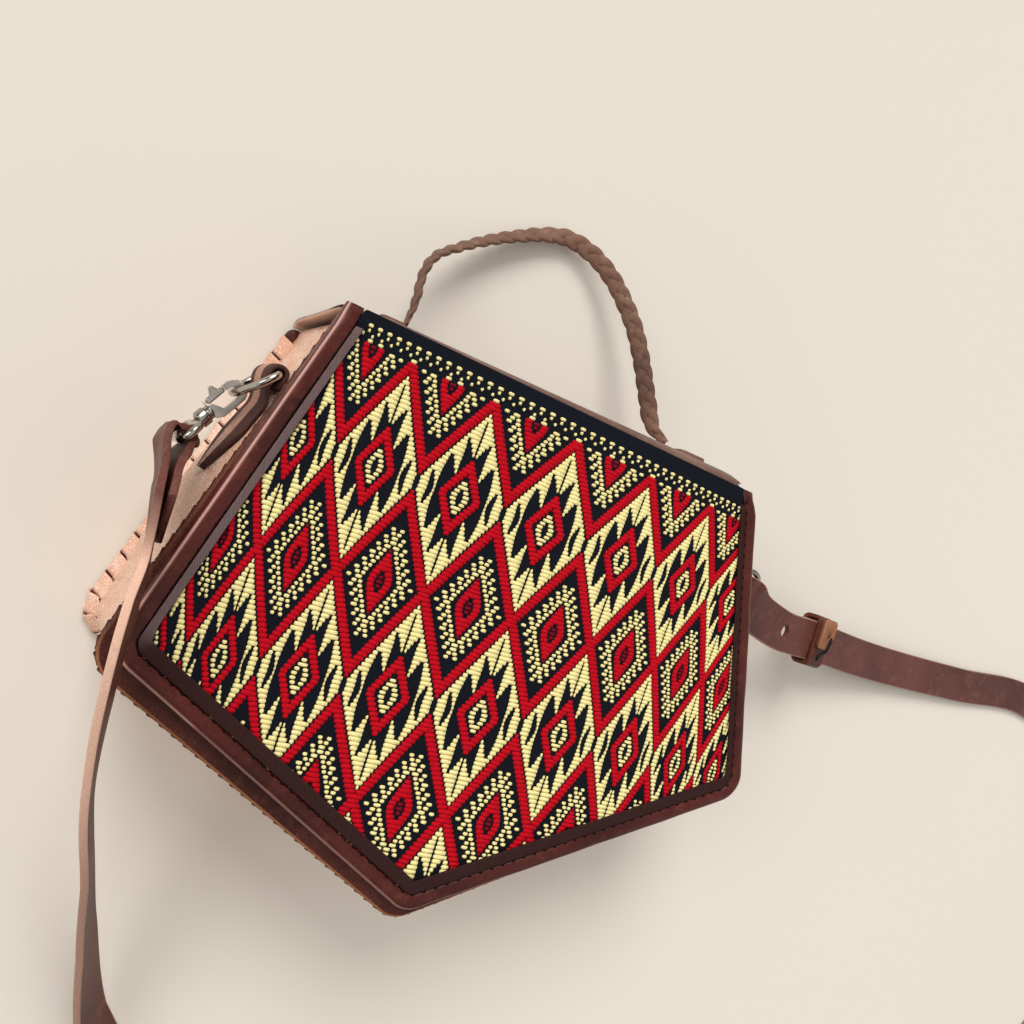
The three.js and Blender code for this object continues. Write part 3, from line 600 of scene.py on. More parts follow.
def rail(corners, side_round, top_round, open_top):
    corners = np.asarray(corners, float)
    count = len(corners)
    points, normals = [], []
    starts = []
    for i in range(count):
        here = corners[i]
        back, ahead = unit(corners[i - 1] - here), unit(corners[(i + 1) % count] - here)
        is_top = i in (0, count - 1)
        first, second = np.array([-back[1], back[0]]), np.array([ahead[1], -ahead[0]])
        if is_top and open_top:
            arc = [(here, second if i == 0 else first)]
        else:
            radius = max(top_round if is_top else side_round, 0.4)
            half = math.acos(np.clip(back @ ahead, -1, 1)) / 2
            centre = here + unit(back + ahead) * radius / math.sin(half)
            sweep_angle = math.atan2(cross2(first, second), first @ second)
            arc = []
            for k in range(CORNER_STEPS + 1):
                c, s = math.cos(sweep_angle * k / CORNER_STEPS), math.sin(sweep_angle * k / CORNER_STEPS)
                normal = np.array([first[0] * c - first[1] * s, first[0] * s + first[1] * c])
                arc.append((centre + normal * radius, normal))
        starts.append(arc)
    for i, arc in enumerate(starts):
        for at, normal in arc:
            points.append(at)
            normals.append(normal)
        if i + 1 < count:
            leave, reach = arc[-1], starts[i + 1][0]
            for k in range(1, RUN_STEPS):
                points.append(leave[0] + (reach[0] - leave[0]) * k / RUN_STEPS)
                normals.append(leave[1])
    return np.array(points), np.array(normals)


def slab(outline, normals, low, high, soft, steps=4):
    """Rings of a flat plate with a rounded rim, and marks that say where the rim is."""
    rings, marks = [], []
    for middle, first in ((low + soft, -90), (high - soft, 0)):
        for angle in np.radians(np.linspace(first, first + 90, steps + 1)):
            flat = outline - normals * soft * (1 - math.cos(angle))
            height = np.full((len(outline), 1), middle + soft * math.sin(angle))
            rings.append(np.hstack([flat, height]))
            marks.append(np.full(len(outline), float(abs(angle) < math.radians(80))))
    return rings, np.concatenate(marks)


print("flap", [round(v, 1) for v in np.ptp(np.array(FLAP_CORNERS), axis=0)], "mm")

# %% [markdown]
# ## Body panels
# Front and back are two plates of thick leather. Their rims are cut through, so
# the paler inside shows there as an orange-tan line. Higher up the sides that
# line is painted out, as painted shade where the rim lies in shadow under the
# flap's edge, and the back rim is painted dark as the shade in its lacing's
# slits. A plate with a rounded rim is enough, because what makes them look sewn
# is the lacing that comes later.

# %% Body panels
PANEL_SOFT = 1.0
# Heights between which the rim's bare edge gives way to painted shade, and how
# bare it is above them, in that painted shade, and below them
RIM_SHADE_HEIGHTS, RIM_LEAST_IN_SHADE, RIM_MOST = (-38, -24), 0.12, 0.65
panel_rail = rail(BODY_CORNERS, BODY_ROUND, TOP_ROUND, False)
for panel_name, panel_low in (("back", 0), ("front", BODY_DEPTH - BODY_WALL)):
    panel_rings, panel_marks = slab(*panel_rail, panel_low, panel_low + BODY_WALL, PANEL_SOFT)
    panel_finish = {"back": back_leather, "front": panel_leather}[panel_name]
    # Above these heights the pale cut edge is painted out: painted shade under the flap's edge
    rim_shade = soft_step(np.asarray(panel_rings)[..., 1].ravel(), *RIM_SHADE_HEIGHTS)
    panel_marks = panel_marks * RIM_MOST * (1 - (1 - RIM_LEAST_IN_SHADE) * rim_shade)
    panel = make_piece(f"{panel_name}_leather", loft(panel_rings), panel_finish, panel_marks)
    settle(panel, "panel_leather", f"{panel_name}_panel")

# %% [markdown]
# ## Gusset
# One strip of tan leather runs round four sides between the panels. It is not a
# flat wall: each run swells softly, most on the left, and the leather puckers a
# little where the lacing pulls it. The strip is a loft of closed sections, so
# it has a real wall inside as well.

# %% Gusset
# Each run's bulge: its height, and where along the run and up the wall it peaks
BULGES = [(4.5, 0.6, 0.3), (2, 0.5, 0.45), (2, 0.5, 0.45), (3, 0.6, 0.4)]
GUSSET_CORNERS = inset(BODY_CORNERS, GUSSET_INSET, 0)
GUSSET_ROWS, GUSSET_SOFT = 26, 0.7
# Depth and pitch of the puckers, how far from mid-depth they are, their spread
PUCKER, PUCKER_PITCH, PUCKER_FROM, PUCKER_SPREAD = 0.25, 7.0, 25, 5


def swell(value, top):
    share = np.where(value < top, value / top, (1 - value) / (1 - top))
    return np.sin(np.pi / 2 * share)


def gusset_bulge(run, part, z):
    peak, along, centre = BULGES[run]
    deep = np.clip((z - BODY_WALL) / (BODY_DEPTH - 2 * BODY_WALL), 0, 1)
    return peak * swell(part, along) ** 2 * swell(deep, centre)


def run_place(at):
    best = (0, 0.0, math.inf)
    for run in range(4):
        start, along = GUSSET_CORNERS[run], GUSSET_CORNERS[run + 1] - GUSSET_CORNERS[run]
        part = float(np.clip((at - start) @ along / (along @ along), 0, 1))
        miss = np.linalg.norm(start + along * part - at)
        if miss < best[2]:
            best = (run, part, miss)
    return best[:2]


def gusset_rings():
    points, normals = rail(GUSSET_CORNERS, BODY_ROUND - GUSSET_INSET, 0, True)
    depth = BODY_DEPTH - 2 * (BODY_WALL + SEAM_GAP)
    section, _ = band_section(depth, BODY_WALL, GUSSET_SOFT, GUSSET_ROWS)
    height = BODY_DEPTH / 2 + section[:, 0]
    shift = section[:, 1] - BODY_WALL / 2
    far = distances(points)
    rings = []
    for at, normal, distance in zip(points, normals, far):
        run, part = run_place(at)
        near_rim = np.exp(-((np.abs(section[:, 0]) - PUCKER_FROM) / PUCKER_SPREAD) ** 2)
        pucker = PUCKER * near_rim * (np.cos(2 * np.pi * distance / PUCKER_PITCH) - 1)
        out = gusset_bulge(run, part, height) + shift + pucker
        rings.append(np.column_stack([at[0] + normal[0] * out, at[1] + normal[1] * out, height]))
    return np.array(rings)


gusset = make_piece("gusset_strip", loft(gusset_rings()), gusset_leather)
settle(gusset, "gusset_leather", "gusset")

# %% [markdown]
# ## Threads, laces and plaits
# Stitches, laces, plaited thongs and the cloth's floats are all a flat section
# carried along a short path. The script works out the paths as chains of edges
# with two attributes: which way the flat side faces, and how full the section
# is at each point. One Geometry Nodes tree then turns every chain into a tube.

# %% Thread tree


def thread_tree():
    tree = bpy.data.node_groups.new("thread_along_path", "GeometryNodeTree")
    face = tree.interface
    face.new_socket("Geometry", in_out="INPUT", socket_type="NodeSocketGeometry")
    for name in ("Width", "Height"):
        face.new_socket(name, in_out="INPUT", socket_type="NodeSocketFloat")
    face.new_socket("Sides", in_out="INPUT", socket_type="NodeSocketInt")
    face.new_socket("Material", in_out="INPUT", socket_type="NodeSocketMaterial")
    face.new_socket("Geometry", in_out="OUTPUT", socket_type="NodeSocketGeometry")

    def node(kind, settings=None, sockets=None):
        made = tree.nodes.new(kind)
        for key, value in (settings or {}).items():
            setattr(made, key, value)
        for key, value in (sockets or {}).items():
            if isinstance(value, bpy.types.NodeSocket):
                tree.links.new(value, made.inputs[key])
            else:
                made.inputs[key].default_value = value
        return made

    given = node("NodeGroupInput").outputs
    facing = node("GeometryNodeInputNamedAttribute", {"data_type": "FLOAT_VECTOR"}, {"Name": "face"})
    full = node("GeometryNodeInputNamedAttribute", {"data_type": "FLOAT"}, {"Name": "swell"})
    sockets = {"Resolution": given["Sides"], "Radius": 0.5}
    circle = node("GeometryNodeCurvePrimitiveCircle", {"mode": "RADIUS"}, sockets)
    size = node("ShaderNodeCombineXYZ", None, {"X": given["Height"], "Y": given["Width"], "Z": 1.0})
    sockets = {"Geometry": circle.outputs["Curve"], "Scale": size.outputs[0]}
    flat = node("GeometryNodeTransform", None, sockets)
    path = node("GeometryNodeMeshToCurve", None, {"Mesh": given["Geometry"]})
    sockets = {"Curve": path.outputs[0], "Normal": facing.outputs["Attribute"]}
    aimed = node("GeometryNodeSetCurveNormal", {"mode": "FREE"}, sockets)
    sockets = {
        "Curve": aimed.outputs[0], "Profile Curve": flat.outputs[0],
        "Scale": full.outputs["Attribute"], "Fill Caps": True,
    }
    tube = node("GeometryNodeCurveToMesh", None, sockets)
    smooth = node("GeometryNodeSetShadeSmooth", None, {"Geometry": tube.outputs[0]})
    real = node("GeometryNodeRealizeInstances", None, {"Geometry": smooth.outputs[0]})
    sockets = {"Geometry": real.outputs[0], "Material": given["Material"]}
    painted = node("GeometryNodeSetMaterial", None, sockets)
    node("NodeGroupOutput", None, {"Geometry": painted.outputs[0]})
    return tree


THREAD_TREE = thread_tree()


def threads(name, paths, width, height, sides, material):
    """One piece of tubes; each path is (points, facing directions, fullness)."""
    mesh = bpy.data.meshes.new(name)
    points = np.vstack([path[0] for path in paths])
    edges, start = [], 0
    for path in paths:
        edges += [(start + k, start + k + 1) for k in range(len(path[0]) - 1)]
        start += len(path[0])
    mesh.from_pydata((points * MM).tolist(), edges, [])
    facing = mesh.attributes.new("face", "FLOAT_VECTOR", "POINT")
    facing.data.foreach_set("vector", np.vstack([path[1] for path in paths]).ravel())
    full = mesh.attributes.new("swell", "FLOAT", "POINT")
    full.data.foreach_set("value", np.concatenate([path[2] for path in paths]))
    piece = bpy.data.objects.new(name, mesh)
    scene.collection.objects.link(piece)
    modifier = piece.modifiers.new("thread", "NODES")
    modifier.node_group = THREAD_TREE
    given = {"Width": width * MM, "Height": height * MM, "Sides": sides, "Material": material}
    for item in THREAD_TREE.interface.items_tree:
        if item.in_out == "INPUT" and item.name in given:
            modifier[item.identifier] = given[item.name]
    plain_mesh(piece)
    print(name, len(paths), "paths")
    return piece


# %% [markdown]
# ## Lacing
# A narrow dark lace whips round the front rim and a broad tan thong round the
# back one, and both bind their panel to the gusset. Each wrap starts on the
# panel's face, passes over the rim on a slant and dives into the gusset a few
# millimetres on, with a slit of rim showing between wraps. On the back the rim
# is painted dark, so these slits show painted shade.

# %% Lacing
# Each rim: side, pitch and slant of its wraps, width and height of the lace,
# and its finish
LACINGS = {
    "front_lacing": (1, 4.6, 1.0, 3.1, 0.3, lacing_leather),
    "back_lacing": (-1, 7.3, 0.45, 6.9, 0.3, thong_leather),
}
LACE_SIDES, LACE_END = 10, 0.6
# Height where a wrap leaves the rim, and how far below it follows the bulge
LACE_BEND, LACE_EASE = 26, (2, 5)
# Each point of a wrap: along the rim, out from it, up from mid-depth, and how
# far its flat side leans from facing outwards to facing up
LACE_WRAP = [
    (-2.6, -3.6, 27.7, 90), (-2.0, -1.8, 27.75, 85), (-1.3, -0.5, 27.6, 60), (-0.7, 0.0, 27.0, 30),
    (0.0, 0.05, 26.2, 5), (0.6, -0.15, 25.4, -20), (1.3, -1.4, 24.5, -40), (2.2, -2.6, 23.2, -25),
    (3.0, -2.95, 21.4, 0), (3.5, -3.5, 20.4, 0),
]


def even_marks(points, pitch):
    """Places at an even pitch along a polyline: index and share of each."""
    lengths = np.linalg.norm(np.diff(points, axis=0), axis=1)
    far = np.concatenate([[0], np.cumsum(lengths)])
    count = int(far[-1] // pitch)
    spare = (far[-1] - count * pitch) / 2
    return far, spare + pitch * (np.arange(count) + 0.5)


def lace_paths(side, pitch, slant):
    points, normals = rail(BODY_CORNERS, BODY_ROUND, 0, True)
    far, marks = even_marks(points, pitch)
    wrap = np.array(LACE_WRAP)
    paths = []
    for mark in marks:
        rows, faces = [], []
        for along, out, up, lean in wrap:
            place = np.clip(mark + slant * along, 0, far[-1])
            at = np.array([np.interp(place, far, points[:, k]) for k in (0, 1)])
            normal = unit([np.interp(place, far, normals[:, k]) for k in (0, 1)])
            run, part = run_place(at - normal * GUSSET_INSET)
            z = BODY_DEPTH / 2 + side * up
            ease = soft_step(LACE_BEND - up, *LACE_EASE)
            out = out + gusset_bulge(run, part, z) * ease
            rows.append([*(at + normal * out), z])
            angle = math.radians(lean)
            faces.append([*(normal * math.cos(angle)), side * math.sin(angle)])
        full = np.ones(len(rows))
        full[[0, -1]] = LACE_END
        paths.append((np.array(rows), np.array(faces), full))
    return paths


for lace_name, (lace_side, lace_pitch, lace_slant, *lace_size, lace_finish) in LACINGS.items():
    wraps = lace_paths(lace_side, lace_pitch, lace_slant)
    lacing = threads(lace_name, wraps, *lace_size, LACE_SIDES, lace_finish)
    settle(lacing, "binding_leather" if lace_side > 0 else "gusset_leather")

# %% [markdown]
# ## Flap leather
# One sheet rises from the back panel, arches over the mouth and lies on the
# front. Only the arch shows, as a thin light strip above the cloth, and its
# left end hangs slack. It is lofted across the bag, section by section, so its
# wall and both its faces are real.

# %% Flap leather
# Rows of the arch: how far each drops at the slack end, and its y and z
ARCH = [
    (0, 74.7, 1.2), (0.6, 77.4, 3), (2, 79.8, 8.5), (3.4, 81.5, 18), (3.8, 82.2, 29),
    (3.4, 82, 40), (2.2, 80.9, 49), (0.8, 78.6, 55.2), (0, 75.5, 57.1),
]
ARCH_WALL, ARCH_SLACK, ARCH_LEAN, ARCH_CROWN = 1.5, 16, 1.2 / 80, 82.2
ARCH_STEPS, ARCH_ACROSS = 8, 70
# Where the rounded rim and the full wall begin, from each end of the arch
ARCH_RIM = (0.4, 1.2)
# The arch's right end: over what length its corner rounds off, and how far
ARCH_CORNER, ARCH_ROUND = 7, 2
FLAP_EDGE = 5.3
SHEET_LOW, SHEET_HIGH = 56.3, 57.9


def arch_rings():
    rows, tangents = spline(ARCH, ARCH_STEPS)
    place = np.linspace(0, 1, len(rows))
    left, right = FLAP_CORNERS[0][0] + SEAM_GAP, FLAP_CORNERS[4][0] - SEAM_GAP
    tuck = FLAP_EDGE * soft_step(rows[:, 2], BODY_DEPTH - FLAP_EDGE, BODY_DEPTH - SEAM_GAP)
    flat = unit(tangents * [0, 1, 1])
    width = right - left
    rim, inner_rim = ARCH_RIM[0] / width, ARCH_RIM[1] / width
    middle = np.linspace(inner_rim, 1 - inner_rim, ARCH_ACROSS)
    shares = np.concatenate([[0, rim], middle, [1 - rim, 1]])
    rings = []
    for share in shares:
        x = left + tuck + (width - 2 * tuck) * share
        slack = 1 - soft_step(x, left, left + ARCH_SLACK)
        corner = soft_step(x, right - ARCH_CORNER, right) * np.sin(np.pi * place)
        lift = x * ARCH_LEAN * np.sin(np.pi * place) - slack * rows[:, 0] - ARCH_ROUND * corner
        near = min(share, 1 - share) * width
        half = ARCH_WALL / 2 * (1 if near > ARCH_RIM[0] else 0.55 + 0.45 * near / ARCH_RIM[0])
        y, z = rows[:, 1] + lift, rows[:, 2]
        outer = np.column_stack([x, y + flat[:, 2] * half, z - flat[:, 1] * half])
        inner = np.column_stack([x, y - flat[:, 2] * half, z + flat[:, 1] * half])
        rings.append(np.vstack([outer, inner[::-1]]))
    return np.array(rings)


sheet_rail = rail(inset(FLAP_CORNERS, FLAP_EDGE, 1), FLAP_ROUND - FLAP_EDGE, 1, False)
sheet_rings, sheet_marks = slab(*sheet_rail, SHEET_LOW, SHEET_HIGH, 0.3)
arch_shape = arch_rings()
# The arch's inner face is the pale flesh side of the leather, painted paler
# still as painted light on this shaded underside
flesh_side_and_painted_light = np.tile(np.repeat([0.0, 1.0], arch_shape.shape[1] // 2), len(arch_shape))
flap_marks = np.concatenate([flesh_side_and_painted_light, np.zeros(len(sheet_marks))])
flap_parts = join_parts(loft(arch_shape), loft(sheet_rings))
flap_sheet = make_piece("flap_leather", flap_parts, arch_leather, flap_marks)
settle(flap_sheet, "panel_leather", "flap_sheet")

# %% [markdown]
# ## Binding and tape
# The flap's raw edge is wrapped by a rolled strip of dark leather, with a twill
# tape covering the joint to the cloth. The roll is a smooth closed section
# carried round the open outline; its outer brow is painted pale, partly as
# rubbed wear and partly as a painted highlight, most on the left run. Small
# dark stitches every four millimetres hold it down.

# %% Binding
BINDING_WIDTH, BINDING_HEIGHT = 5, 5.2
BINDING_SECTION = [
    (0.2, 0), (0, 0.2), (0, 0.7), (0.14, 0.92), (0.4, 1), (0.75, 0.95), (1, 0.8), (1, 0),
]
BINDING_RUB_AND_HIGHLIGHT_SIZE = 0.08
# The roll's unevenness, as two waves: size and pitch
BINDING_WOBBLE = ((0.02, 7.3), (0.015, 3.1))
# Where on its section the roll is painted pale, as rubbed wear and a painted
# highlight, how much on the right and on the left run, and where the left run is
BINDING_RUB_AND_HIGHLIGHT, BINDING_WEAR_AND_HIGHLIGHT, BINDING_LEFT = (0.12, 0.9), (0.4, 0.95), -84
# Length over which the roll dies down at its ends, and what is left there
BINDING_ENDING, BINDING_LOW_END = 8, 0.5


def binding_rings():
    outer, _ = rail(FLAP_CORNERS, FLAP_ROUND, 0, True)
    inner, _ = rail(inset(FLAP_CORNERS, BINDING_WIDTH, 0), FLAP_ROUND - BINDING_WIDTH, 0, True)
    section, _ = spline([(p, h, 0) for p, h in BINDING_SECTION], 6, True)
    far = distances(outer)
    rings = []
    for start, stop, distance in zip(outer, inner, far):
        wobble = sum(size * math.sin(distance / pitch) for size, pitch in BINDING_WOBBLE)
        flat = start + (stop - start) * np.clip(section[:, :1], 0, 1)
        ending = soft_step(min(distance, far[-1] - distance), 0, BINDING_ENDING)
        tall = BINDING_HEIGHT * (1 + wobble) * (BINDING_LOW_END + (1 - BINDING_LOW_END) * ending)
        height = SHEET_LOW + np.clip(section[:, 1], 0, 1) * tall
        rings.append(np.column_stack([flat, height]))
    # The pale brow: rubbed wear and a painted highlight, strongest on the left run
    rub_and_highlight = np.exp(-(np.linalg.norm(section[:, :2] - BINDING_RUB_AND_HIGHLIGHT, axis=1) / BINDING_RUB_AND_HIGHLIGHT_SIZE) ** 2)
    worn = BINDING_WEAR_AND_HIGHLIGHT[0] + (BINDING_WEAR_AND_HIGHLIGHT[1] - BINDING_WEAR_AND_HIGHLIGHT[0]) * (outer[:, 0] < BINDING_LEFT)
    return np.array(rings), np.outer(worn, rub_and_highlight).ravel()


binding_shape, binding_rub_and_highlight = binding_rings()
binding = make_piece("binding_roll", loft(binding_shape), binding_leather, binding_rub_and_highlight)
settle(binding, "binding_leather", "flap_binding")

# %% Tape
TAPE_WIDTH, TAPE_LOW, TAPE_HIGH, TAPE_TOP = 4.1, 60.3, 61.1, 6
# Heights between which the side runs of the tape begin, and how much of their
# width goes under the cloth's edge. The left run is worn pale
TAPE_WORN, TAPE_TUCK = (-31, -20), 0.45


def tape_rings():
    outer, _ = rail(inset(FLAP_CORNERS, FLAP_EDGE, TAPE_TOP), FLAP_ROUND - FLAP_EDGE, 0, True)
    inner, _ = rail(inset(FLAP_CORNERS, FLAP_EDGE + TAPE_WIDTH, TAPE_TOP), 1, 0, True)
    section, _ = band_section(1, 1, 0.2, 4)
    height = (TAPE_LOW + TAPE_HIGH) / 2 + section[:, 1] * (TAPE_HIGH - TAPE_LOW)
    share = (0.5 + section[:, 0])[:, None]
    side = soft_step(outer[:, 1], *TAPE_WORN)
    worn = side * (outer[:, 0] < 0)
    inner = outer + (inner - outer) * (1 - TAPE_TUCK * side)[:, None]
    rings = np.array([np.column_stack([a + (b - a) * share, height]) for a, b in zip(outer, inner)])
    return rings, np.repeat(worn, len(section))


tape_shape, tape_worn = tape_rings()
tape = make_piece("edge_tape", loft(tape_shape), tape_cloth, tape_worn)
settle(tape, "twill_tape", "flap_tape")

# %% Binding stitches
STITCH_PITCH, STITCH_LENGTH, STITCH_WIDTH, STITCH_HEIGHT, STITCH_SIDES = 4.0, 1.5, 0.8, 0.5, 6
STITCH_INSET, STITCH_Z = 4.9, 60.75


def stitch_paths():
    points, _ = rail(inset(FLAP_CORNERS, STITCH_INSET, 1), FLAP_ROUND - STITCH_INSET, 0, True)
    far, marks = even_marks(points, STITCH_PITCH)
    paths = []
    for mark in marks:
        places = mark + STITCH_LENGTH * np.array([-0.5, -0.25, 0, 0.25, 0.5])
        flat = np.column_stack([np.interp(places, far, points[:, k]) for k in (0, 1)])
        height = STITCH_Z + np.array([-0.25, 0.05, 0.12, 0.05, -0.25])
        facing = np.tile([0.0, 0.0, 1.0], (5, 1))
        paths.append((np.column_stack([flat, height]), facing, np.array([0.6, 0.95, 1, 0.95, 0.6])))
    return paths


stitch_size = (STITCH_WIDTH, STITCH_HEIGHT, STITCH_SIDES)
stitches = threads("binding_stitches", stitch_paths(), *stitch_size, stitch_thread)
settle(stitches, "binding_leather")

# %% [markdown]
# ## Woven cloth
# The cloth is a supplementary-weft weave: a dark ribbed ground with thick
# coloured floats lying across it in rows. The pattern repeats a large diamond
# and, half a step away, a small one, with yellow lightning between them. The
# repeat is charted row by row in half-steps from its axis of symmetry, and each
# entry becomes one float.

# %% Weave chart
REPEAT_STEPS, REPEAT_ROWS = 40, 47
REPEAT_HEIGHT = 63.6
FIRST_ROW_Y = 6.76
# Large diamonds, by row from their centre: spans from the axis outwards
RED_LARGE = {r: [(max(17.4 - r, 0), 21.8 - r)] for r in range(22)}
RED_HEART = {
    0: [(2.2, 5.4)], 1: [(1.9, 5.1)], 2: [(1, 4.5)], 3: [(0, 3.7)],
    4: [(0, 3)], 5: [(0, 2.1)], 6: [(0, 1.3)],
}
CRIMSON_HEART = {0: [(0, 1.4)], 1: [(0, 1)], 7: [(0, 0.8)]}
YELLOW_BEADS = {
    0: [(8, 11), (13, 15.2)], 1: [(7.1, 9), (9.8, 12)], 2: [(6.5, 8.7), (10.6, 13)],
    3: [(5.5, 7.2), (7.8, 9.9)], 4: [(4.6, 6.8), (8.6, 10.9)], 5: [(3.4, 5.2), (6.1, 8)],
    6: [(2.6, 4.6), (6, 8.8)], 7: [(1.7, 3.5), (4.2, 6.2)], 8: [(0.6, 3.4), (5.1, 7.1)],
    9: [(0, 1.4), (2.2, 4.3)], 10: [(0, 1.4), (3, 5)], 11: [(0.3, 2.3)], 12: [(1, 3)],
}
# Small diamonds and the lightning beside them: spans from the small axis
RED_SMALL = {r: [(max(6.3 - 1.1 * (23.5 - r), 0), 9.7 - (23.5 - r))] for r in range(14, 24)}
YELLOW_EYE = {20: [(0, 1.3)], 21: [(0, 2.3)], 22: [(0.8, 3.2)], 23: [(1.3, 4)]}
YELLOW_TEETH = {
    3: [(0, 0.6)], 4: [(0, 1.7)], 5: [(0.3, 2.6)], 6: [(0.4, 3.5)], 7: [(0.4, 4.4)],
    8: [(0.4, 5.4)], 9: [(0.4, 6.4)], 10: [(0.4, 4.2), (5.4, 7.4)], 11: [(0.4, 3), (5.2, 8.3)],
    12: [(0.4, 2.2), (5, 9.3)], 13: [(0.4, 1.3), (5, 10.3)], 14: [(5, 11.3)],
    15: [(5, 8.4), (10.2, 12.3)], 16: [(5.1, 7.5), (10.5, 13.3)], 17: [(5, 7), (10.8, 14.3)],
    18: [(5, 6), (11.1, 15.3)], 19: [(11.3, 16.3)], 20: [(11.4, 14), (15.2, 17.3)],
    21: [(11.5, 13.3), (15.2, 18)], 22: [(11.5, 12.7), (15, 19)], 23: [(11.5, 12.3), (14.9, 18.8)],
}
# Border above the topmost half diamonds: row, step in the repeat, half width
BORDER_BEADS = [(1, 20, 1.4), (1, 2.8, 1.3), (1, -2.8, 1.3)]
# Dots to a repeat above these, and their rows: row, shift, half width
BORDER_DOTS = 8
BORDER_ROWS = [(2, 0.5, 0.6), (3, 0, 0.65), (4.1, 0, 1.25)]
print("rows to a repeat:", REPEAT_ROWS)

# %% Floats from the chart
ROW = REPEAT_HEIGHT / REPEAT_ROWS
# Repeats down and across that the flap has room for
REPEATS, COLUMNS = range(-1, 3), range(-3, 9)
CLOTH_BULGE, CLOTH_UNIT, CLOTH_MIDDLE = 0.253, 33.0, 2.497
# The cloth isn't laid quite straight: its drift in x and y, as weights of the
# terms 1, x, y, xx, xy, yy, xxy, xyy and yyy, with x and y in decimetres
DRIFT_X = (-0.22, 0.17, 0.69, 0.65, 0.3, 2.94, -1.93, 0.86, -0.73)
DRIFT_Y = (-0.12, 0.69, -0.41, -0.82, -1.5, -5.18, 0.42, -4.06, 0.67)
DRIFT_UNIT = 100
# Shortest float that is laid, and how far the floats keep from the flap's edges
FLOAT_LEAST, FLOAT_EDGE, FLOAT_TOP = 0.45, 6.5, 1.2
cloth_outline = inset(FLAP_CORNERS, FLOAT_EDGE, FLOAT_TOP)


def cloth_x(u):
    return CLOTH_UNIT * np.arctan(CLOTH_BULGE * (u - CLOTH_MIDDLE)) / CLOTH_BULGE


def drifted(x, y):
    """Where points of a straight cloth lie on this one."""
    a, b = x / DRIFT_UNIT, y / DRIFT_UNIT
    terms = np.column_stack([a**0, a, b, a * a, a * b, b * b, a * a * b, a * b * b, b**3])
    return x + terms @ DRIFT_X, y + terms @ DRIFT_Y


def cloth_limits(y):
    """Left and right end of the cloth at a height."""
    crossings = []
    for start, stop in zip(cloth_outline, np.roll(cloth_outline, -1, 0)):
        if (start[1] - y) * (stop[1] - y) < 0:
            share = (y - start[1]) / (stop[1] - start[1])
            crossings.append(start[0] + (stop[0] - start[0]) * share)
    return (min(crossings), max(crossings)) if len(crossings) == 2 else None


def lay_float(pile, y, start, stop):
    limits = cloth_limits(y)
    if limits is None:
        return
    left, right = np.clip([cloth_x(start), cloth_x(stop)], *limits)
    if right - left > FLOAT_LEAST:
        pile.append((left, right, y))


def lay_chart(pile, chart, axis):
    """Lays every span of a chart, mirrored about its axis and about its row."""
    for repeat in REPEATS:
        for row, spans in chart.items():
            for flip in ((1, -1) if row else (1,)):
                if repeat == -1 and flip * row > 0:
                    continue
                y = FIRST_ROW_Y - repeat * REPEAT_HEIGHT + flip * row * ROW
                for low, high in spans:
                    lay_span(pile, y, axis, low, high)


def lay_span(pile, y, axis, low, high):
    if high > REPEAT_STEPS / 2:
        axis, low, high = axis + 0.5, 0, REPEAT_STEPS / 2 - low
    for column in COLUMNS:
        middle = column + axis
        if low <= 0:
            lay_float(pile, y, middle - high / REPEAT_STEPS, middle + high / REPEAT_STEPS)
        else:
            lay_float(pile, y, middle + low / REPEAT_STEPS, middle + high / REPEAT_STEPS)
            lay_float(pile, y, middle - high / REPEAT_STEPS, middle - low / REPEAT_STEPS)


def lay_border(pile):
    top = FIRST_ROW_Y + REPEAT_HEIGHT
    rows = [(row, step / REPEAT_STEPS, half) for row, step, half in BORDER_BEADS]
    for k in range(BORDER_DOTS):
        rows += [(row, (k + shift) / BORDER_DOTS, half) for row, shift, half in BORDER_ROWS]
    for column in COLUMNS:
        for row, step, half in rows:
            middle = column + step
            lay_float(pile, top + row * ROW, middle - half / REPEAT_STEPS, middle + half / REPEAT_STEPS)


floats = {"cloth_red": [], "cloth_crimson": [], "cloth_beads": [], "cloth_teeth": []}
for chart_name, chart_table, chart_axis in (
    ("cloth_red", RED_LARGE, 0), ("cloth_red", RED_HEART, 0), ("cloth_red", RED_SMALL, 0.5),
    ("cloth_crimson", CRIMSON_HEART, 0), ("cloth_beads", YELLOW_BEADS, 0),
    ("cloth_beads", YELLOW_EYE, 0.5), ("cloth_teeth", YELLOW_TEETH, 0.5),
):
    lay_chart(floats[chart_name], chart_table, chart_axis)
lay_border(floats["cloth_beads"])
print({name: len(pile) for name, pile in floats.items()})

# %% Ground cloth and floats
CLOTH_LOW, CLOTH_HIGH = 58.2, 59.45
FLOAT_Z, FLOAT_CROWN, FLOAT_ROUND = 59.5, 0.16, 0.55
# Width and height of each colour's floats
FLOAT_SIZES = {
    "cloth_red": (1.75, 0.95, red_thread), "cloth_crimson": (1.25, 0.95, crimson_thread),
    "cloth_beads": (1.2, 1.1, yellow_thread), "cloth_teeth": (1.55, 1.0, yellow_thread),
}
cloth_rail = rail(inset(FLAP_CORNERS, FLAP_EDGE, 0), FLAP_ROUND - FLAP_EDGE, 1, False)
cloth_rings, _ = slab(*cloth_rail, CLOTH_LOW, CLOTH_HIGH, 0.4)
ground = make_piece("cloth_ground", loft(cloth_rings), navy_cloth)
settle(ground, "woven_cloth", "flap_cloth")


